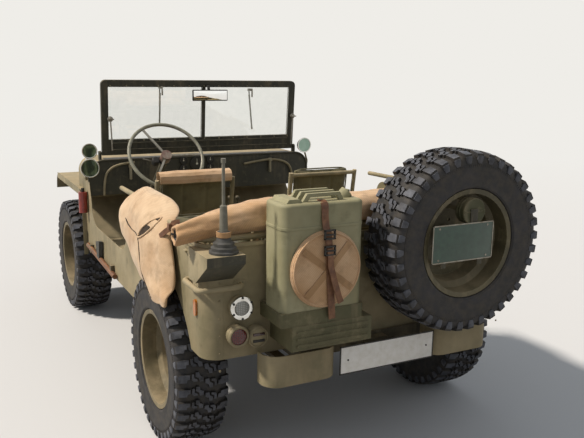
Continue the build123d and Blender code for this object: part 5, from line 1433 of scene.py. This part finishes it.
@dataclass
class Stowage:
    """What lies in the back: a strapped pack, the folded side curtains and the arms of the second bow."""

    fold: float = 17.0
    # Each folded curtain's cloth, and its back right and front left corners: olive under, tan on top
    layers: Sequence[tuple[Coat, Pair, Pair]] = (
        (Coat.PACK, (-396, -690), (-190, 60)), (Coat.PACK, (-390, -684), (-196, 52)),
        (Coat.PACK, (-392, -660), (-202, 40)), (Coat.CANVAS, (-384, -470), (-206, 28)),
        (Coat.CANVAS, (-378, -450), (-212, 12)))

    def pack(self, seats: Seats) -> None:
        """An olive pack on the rear bench behind the driver, with two straps."""
        seats.pad("stowed_pack", (-118, 128, 816), (92, 432, 1008), coat=Coat.PACK)
        work = Work()
        for y in (200.0, 360.0):
            # Up the back, over the top and down the front
            for route, out in (([(-124, 850), (-126, 930), (-112, 1004), (-60, 1013)], Vector((-1, 0, 0.5))),
                               ([(-60, 1013), (30, 1013), (88, 1002)], UP),
                               ([(88, 1002), (98, 930), (97, 850)], Vector((1, 0, 0.5)))):
                work.ribbon([(x, y, z) for x, z in route], out, 24, 2.5)
            work.brick((-134, y - 18, 918), (-124, y + 18, 944), 2)
        work.piece("pack_straps", [Coat.WEBBING], "seat_cloth")

    def curtains(self) -> None:
        """The side curtains, folded into a flat bundle on the rear seat back."""
        for n, (coat, low, high) in enumerate(self.layers):
            work, base = Work(), 1016 + n * self.fold
            work.brick((*low, base), (*high, base + self.fold + 1.5), 7)
            work.divide(0.03, 14)
            work.ruffle((110, 9.0, n * 3.0), (35, 2.5, n + 1.0))
            stuffed(work.make(f"folded_curtain_{n + 1}", [coat]))

    def bow(self) -> None:
        """The arms of the second bow, lying along the rails over the ends of the first."""
        work = Work()
        for side, name in ((1, "left"), (-1, "right")):
            arm = ((180, 752, 1037), (430, 752, 1037), (560, 750, 1034), (676, 748, 1032))
            pipe("second_bow_" + name, [(x, side * y, z) for x, y, z in arm], 12, Coat.OLIVE)
        for side, face in ((-1, -774), (1, 770)):
            y = side * 758
            work.brick((405, y - 16, 1000), (432, y + 12, 1030), 3)
            work.bolts([(418, face, 1014)], LEFT * side, 16, 7)
        work.piece("bow_clamps", [Coat.DARK], "bow_paint")

    def build(self) -> None:
        """The pack, the curtains and the bow."""
        self.pack(Seats())
        self.curtains()
        self.bow()


class LampKind(Enum):
    """The rear lamps' kinds, each by the width of its bezel and its finishes."""

    CLEAR = 17, (Coat.CHROME, Coat.CLEAR_LENS, Coat.BLACK)
    RED = 9, (Coat.OLIVE, Coat.RED_LENS)
    MASK = 5, (Coat.OLIVE, Coat.OLIVE, Coat.MASK_RED, Coat.BLACK)


@dataclass
class Lamps:
    """The lamps' own faces: bezels, glass and the blackout masks."""

    # across, height, radius and face of each, then its kind
    rear: Sequence[tuple[float, float, float, float, LampKind]] = (
        (614, 755, 46, -566, LampKind.CLEAR), (631, 646, 41, -576, LampKind.RED),
        (549, 632, 41, -572, LampKind.MASK), (-631, 646, 41, -576, LampKind.RED),
        (-549, 632, 41, -572, LampKind.MASK))

    def face(self, centre: Place, radius: float, axis: Vector, rim: float) -> Work:
        """A bezel and a domed glass in it.

        Args:
            centre: the middle of the lamp's face.
            radius: its radius.
            axis: which way it looks.
            rim: width of the bezel.

        Returns:
            The mesh, with the glass as its second material.
        """
        work = Work()
        work.ring([(-8, radius), (1, radius + 1.5), (6, radius - 1), (8, radius - rim * 0.5),
                   (5, radius - rim), (-2, radius - rim)], centre, axis)
        inner = radius - rim + 0.5
        dome = [(1 + 7 * math.cos(a), inner * math.sin(a)) for a in (math.pi / 16 * n for n in range(1, 9))]
        work.number = 1
        work.rod([(8, 0.2), *dome], centre, axis, 48)
        return work

    def build(self) -> None:
        """The five lamps at the back and the two headlamps."""
        for n, (y, z, radius, x, kind) in enumerate(self.rear):
            rim, coats = kind.value
            work = self.face((x, y, z), radius, BACK, rim)
            if kind is LampKind.CLEAR:
                steps = [polar(math.tau * (step + 0.5) / 6, radius - 5) for step in range(6)]
                work.number = 2
                work.bolts([(x - 4, y + a, z + b) for a, b in steps], BACK, 11, 4.5, 10)
            if kind is LampKind.MASK:
                for number, low, high in ((2, 7, 18), (3, -19, -8)):
                    work.number = number
                    work.brick((x - 10.5, y - 24, z + low), (x - 2, y + 24, z + high), 2)
            work.piece(f"rear_lamp_{n + 1}", coats, "lamp_bodies")
        for name, y in (("right", -325), ("left", 325)):
            self.face((2404, y, 862), 80, AHEAD, 9).piece(
                "headlamp_glass_" + name, [Coat.HOLDER, Coat.CLEAR_LENS], "lamp_bodies")


@dataclass
class Windshield:
    """What is fixed to the windshield: wipers, the inside mirror, wing nuts, stays and pressed lines."""

    rear: float = 1484.0

    def wipers(self) -> None:
        """Two hand wipers outside the glass, each with its arm, blade and inside handle."""
        for side, y, z, y2, z2 in (("left", 279, 1500, 286, 1292), ("right", -332, 1486, -353, 1238)):
            work = Work()
            work.ribbon([(1533, y, z - 20), (1533, y2, z2)], BACK, 9, 6)
            work.ribbon([(1536, y, z + 16), (1538, (y + y2) / 2, (z + z2) / 2)], BACK, 7, 3)
            work.brick((1486, y - 9, z + 6), (1542, y + 9, z + 22), 3)
            work.brick((1476, y - 5, z - 34), (1482, y + 5, z + 16), 2)
            work.piece("wiper_" + side, [Coat.STEEL], "steel", "windshield")

    def mirror(self) -> None:
        """The wide mirror inside the glass, on a bracket from the middle of the frame."""
        work = Work()
        work.brick((1430, -140, 1432), (1444, 97, 1502), 5)
        work.brick((1444, -30, 1462), (1460, -12, 1480), 3)
        work.ribbon([(1452, -21, 1470), (1466, -21, 1520), (1490, -21, 1532)], Vector((-1, 0, 0.2)), 18, 4)
        work.number = 1
        work.brick((1428.6, -134, 1438), (1431, 91, 1496), 2)
        work.piece("inside_mirror", [Coat.BLACK, Coat.SILVERED], "mirror_glass", "windshield")

    def stays(self) -> None:
        """Wing nuts and stays at both side posts."""
        for side, y, foot in (("left", 607, 601), ("right", -636, -624)):
            work = Work()
            work.rod([(0, 0.5), (0, 17), (5, 17), (8, 12), (18, 11), (22, 7), (22, 0.5)],
                     (self.rear + 2, y, 1324), BACK)
            work.brick((1462, y - 19, 1320), (1467, y + 19, 1328), 1.5)
            work.piece("wing_nut_" + side, [Coat.STEEL], "steel", "windshield")
            pipe("stay_" + side, [(1478, y, 1318), (1478, (y + foot) / 2, 1240), (1480, foot, 1132)], 4.5,
                 Coat.STEEL, "windshield")

    def lines(self) -> None:
        """The pressed beads across the panel below the glass, and screws round both panes."""
        for n, z in enumerate((1176, 1136)):
            pipe(f"panel_bead_{n + 1}", [(1486, 596, z), (1485, 0, z), (1486, -596, z)], 4.0, Coat.SCREEN_AND_SHADE,
                 "windshield")
        work = Work()
        work.bolts([(1488, y, z) for z in (1190, 1524) for y in range(-600, 601, 100)], BACK, 9, 4, 10)
        work.piece("pane_screws", [Coat.RUBBED], "olive_dark", "windshield")

    def seal(self) -> None:
        """The dark rubber strip that lies over the cowl's back edge, under the windshield."""
        work = Work()
        for middle, wide in ((1492, 38), (1530, 40), (1569, 40)):
            hits = (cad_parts["cowl"].ray_cast(car(middle, y, 1300), -UP) for y in range(-640, 641, 80))
            work.ribbon([place + UP * 0.0004 for hit, place, _, _ in hits if hit], UP, wide, 1.6)
        work.piece("windshield_seal", [Coat.BLACK], "wheel_plastic")

    def build(self) -> None:
        """Everything on the windshield."""
        self.seal()
        self.wipers()
        self.mirror()
        self.stays()
        self.lines()


@dataclass
class Cockpit:
    """The dash: gauges, trim tubes, the windshield's clamps, and the switch on the column."""

    face: float = 1473.0
    # across, height and radius
    gauges: Sequence[tuple[float, float, float]] = ((60, 1030, 44), (150, 1052, 24), (150, 1000, 24),
                                                    (-32, 1052, 24), (-32, 1000, 24))
    column: Vector = field(default_factory=lambda: Vector((-0.777146, 0, 0.62932)))

    def dials(self) -> None:
        """Gauges with black rims and faces and pale hands."""
        work = Work()
        for y, z, radius in self.gauges:
            middle = (self.face, y, z)
            work.number = 0
            work.ring([(0, radius - 3), (0, radius + 3), (5, radius + 2), (7, radius - 1), (3, radius - 3)],
                      middle, BACK, 36)
            for number, lift, reach in ((1, 3, radius - 2), (2, 4, radius * 0.16)):
                work.number = number
                work.rod([(0, 0.3), (0, reach), (lift, reach), (lift, 0.3)], middle, BACK, 32)
            work.brick((self.face - 4.4, y - 1.2, z), (self.face - 3.2, y + 1.2, z + radius * 0.7), 0)
        work.piece("dash_gauges", [Coat.BLACK, Coat.DIAL_BLACK, Coat.DIAL], "lamp_bodies")

    def trims(self) -> None:
        """The padded tubes that arch over both sides of the dash, and their clamps."""
        for name, points in (
                ("left", [(1466, 664, 860), (1464, 662, 930), (1462, 646, 1010), (1462, 570, 1052),
                          (1466, 470, 1058)]),
                ("right", [(1466, -630, 925), (1464, -622, 965), (1462, -590, 1010), (1462, -500, 1038),
                           (1464, -380, 1032), (1466, -270, 1014)])):
            pipe("dash_tube_" + name, points, 7.5, Coat.OLIVE, smooth=True)
        work = Work()
        for y in (496, -461):
            work.brick((1458, y - 8, 950), (1473, y + 8, 1038), 4)
            work.brick((1452, y - 12, 1024), (1473, y + 12, 1046), 4)
            work.bolts([(1458, y, 970)], BACK)
        work.piece("dash_clamps", [Coat.WORN], "steel")

    def switch(self) -> None:
        """The turn-signal switch clamped to the column under the wheel, with its lever."""
        work = Work()
        work.rod([(0, 0.5), (0, 20), (4, 22), (34, 22), (38, 18), (38, 0.5)], (1076, 455, 1098),
                 self.column, 28)
        work.ribbon([(1070, 430, 1100), (1068, 400, 1104)], self.column, 26, 8)
        work.piece("signal_switch", [Coat.BLACK], "wheel_plastic")
        pipe("signal_lever", [(1066, 470, 1110), (1058, 510, 1122), (1054, 530, 1128)], 3.5, Coat.STEEL)

    def build(self) -> None:
        """The gauges, the tubes and the switch."""
        self.dials()
        self.trims()
        self.switch()


@dataclass
class Fittings:
    """Small hardware on the body: rivets, strap loops, mirror rims, hood catches and bumper bolts."""

    half: float = 755.0
    corner: float = 690.0

    def rivets(self) -> None:
        """Rivet rows along the rail and down the rear corners."""
        work = Work()
        for side in (-1, 1):
            work.bolts([(-420 + 62 * n, side * self.half, 968) for n in range(8)], LEFT * side, 9, 2.6, 10)
            work.bolts([(-530, side * self.corner, 500 + 70 * n) for n in range(6)], BACK, 9, 2.6, 10)
        work.piece("body_rivets", [Coat.RUBBED])

    def loops(self) -> None:
        """Footman loops for the top's straps, along both rails and across the back."""
        work = Work()
        # Each loop is a flat foot and a thicker bar: half its length, how far it stands out, heights, bevel
        for half, out, low, high, bevel in ((26, 3, 934, 950, 1), (15, 11, 937, 947, 3)):
            for side in (-1, 1):
                inner, outer = sorted((side * self.half, side * (self.half + out)))
                for x in (-350, -120, 110, 340):
                    work.brick((x - half, inner, low), (x + half, outer, high), bevel)
            for y in (-420, -180, 60, 300):
                work.brick((-530 - out, y - half, low + 20), (-530, y + half, high + 20), bevel)
        work.piece("strap_loops", [Coat.RUBBED])

    def mirror_rims(self) -> None:
        """Bright rims round the three mirror glasses."""
        work = Work()
        for y, z, radius in ((749, 1036, 56), (749, 1140, 45), (-706, 1128, 50)):
            work.ring([(-3, radius + 1.5), (-3, radius - 4), (2.4, radius - 5), (3.4, radius - 2),
                       (2.4, radius + 1.5)], (1434, y, z), BACK, 44)
        work.piece("mirror_rims", [Coat.CHROME], "steel")

    def catches(self) -> None:
        """Spring catches and rubber blocks on the hood's sides, and bolts along the front bumper."""
        work = Work()
        for side in (-1, 1):
            for x in (1935, 2265):
                work.brick((x - 12, side * 521 - 4, 905), (x + 12, side * 521 + 4, 975), 2)
                work.brick((x - 17, side * 523 - 5, 968), (x + 17, side * 523 + 5, 984), 2)
        work.piece("hood_catches", [Coat.DARK], body="hood")
        work = Work()
        low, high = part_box("front_bumper")
        work.bolts([Vector((high.x - 0.0072, y / 1000, low.z + (high.z - low.z) * share))
                    for y in (-560, -330, 330, 560) for share in (0.3, 0.7)], AHEAD, 20, 7)
        work.piece("bumper_bolts", [Coat.DARK], "olive_dark")

    def build(self) -> None:
        """All the hardware."""
        self.rivets()
        self.loops()
        self.mirror_rims()
        self.catches()


@dataclass
class Studio:
    """A pale floor, soft light from the car's left, and the camera."""

    eye: tuple[float, float, float] = (-2955.0, 1636.0, 1637.0)
    yaw: float = -27.2
    pitch: float = 11.71
    roll: float = 0.86
    lens: float = 44.53
    pale: str = "#efede8"
    lit: str = "#d6d7d8"
    bounce: str = "#8b8782"
    sky_light: str = "#e9eef4"
    # Name, turn and height in degrees, power, spread in degrees and colour of each sun
    suns: Sequence[tuple[str, float, float, float, float, str]] = (
        ("key", 72.0, 48.0, 3.8, 5.0, "#fff5e8"), ("fill", 205.0, 35.0, 0.12, 60.0, "#eef2f8"))

    @staticmethod
    def way(turn: float, height: float) -> Vector:
        """A direction, from its turn and its height above level, both in degrees."""
        level, upright = polar(math.radians(height))
        return Vector((*polar(math.radians(turn), level), upright))

    def floor(self) -> None:
        """A wide floor that turns into the backdrop's own colour far from the car.

        It is pale where it is seen, and greyer where it throws light back up at the car.
        """
        work = Work()
        bmesh.ops.create_grid(work.bm, x_segments=1, y_segments=1, size=60.0)
        material = bpy.data.materials.new("pale_floor")
        material.use_nodes = True
        paint = Shading(material)
        far = add_node(paint.tree, "VectorMath", {0: paint.place}, operation="LENGTH").outputs["Value"]
        glow = add_node(paint.tree, "Emission", {"Color": linear(self.pale), "Strength": 1.0})
        camera, seen = straight_rays(paint.tree)
        paint.finish(Base_Color=paint.blend(seen, self.bounce, self.lit), Roughness=0.9,
                     Specular_IOR_Level=0.1)
        share = paint.times(paint.between(far, 3.0, 11.0), camera)
        mixed = add_node(paint.tree, "MixShader", {0: share, 1: paint.shader.outputs[0], 2: glow.outputs[0]})
        paint.tree.links.new(mixed.outputs[0], paint.tree.nodes["Material Output"].inputs[0])
        ground = work.make("floor", [])
        ground.data.materials.append(material)

    def sky(self) -> None:
        """Even light all round, and the backdrop's colour where the camera or a shine sees it."""
        world = bpy.data.worlds.new("studio")
        world.use_nodes = True
        bpy.context.scene.world = world
        tree = world.node_tree
        tree.nodes.clear()
        soft = add_node(tree, "Background", {"Color": linear(self.sky_light), "Strength": 0.40})
        back = add_node(tree, "Background", {"Color": linear(self.pale), "Strength": 1.0})
        seen = straight_rays(tree)[1]
        mixed = add_node(tree, "MixShader", {0: seen, 1: soft.outputs[0], 2: back.outputs[0]})
        add_node(tree, "OutputWorld", {0: mixed.outputs[0]})

    def lamps(self) -> None:
        """A broad key from the left and front and a weak fill from behind."""
        for name, turn, height, power, spread, colour in self.suns:
            light = bpy.data.lights.new(name, "SUN")
            light.energy = power
            light.angle = math.radians(spread)
            light.color = linear(colour)[:3]
            lamp = bpy.data.objects.new(name, light)
            lamp.rotation_euler = self.way(turn, height).to_track_quat("Z", "Y").to_euler()
            bpy.context.scene.collection.objects.link(lamp)

    def camera(self) -> None:
        """The camera, standing behind the car on its left."""
        ahead = self.way(self.yaw, -self.pitch)
        right = self.way(self.yaw - 90, 0)
        up = right.cross(ahead)
        along, across = polar(math.radians(self.roll))
        data = bpy.data.cameras.new("camera")
        data.lens = self.lens
        data.sensor_width = 36.0
        view = bpy.data.objects.new("camera", data)
        turn = Matrix((along * right + across * up, along * up - across * right, -ahead)).transposed()
        view.matrix_world = Matrix.Translation(car(*self.eye)) @ turn.to_4x4()
        bpy.context.scene.collection.objects.link(view)
        bpy.context.scene.camera = view

    def build(self) -> None:
        """Set the whole studio up."""
        bpy.context.scene.view_settings.view_transform = "Standard"
        self.camera()
        self.floor()
        self.sky()
        self.lamps()


def main() -> None:
    """Build the car's dressing in order."""
    logging.basicConfig(level=logging.INFO, format="%(name)s: %(message)s")
    noise.seed_set(CREASES)
    for part in (Studio(), NodeCoats(), Wheels(), CanvasTop(), SideBag(), FoldedBucket(), Plates(), Seats(),
                 Stowage(), Lamps(), Windshield(), Cockpit(), Fittings()):
        LOG.info("building %s", type(part).__name__)
        part.build()
    bpy.context.view_layer.update()


if __name__ == "__main__":
    main()
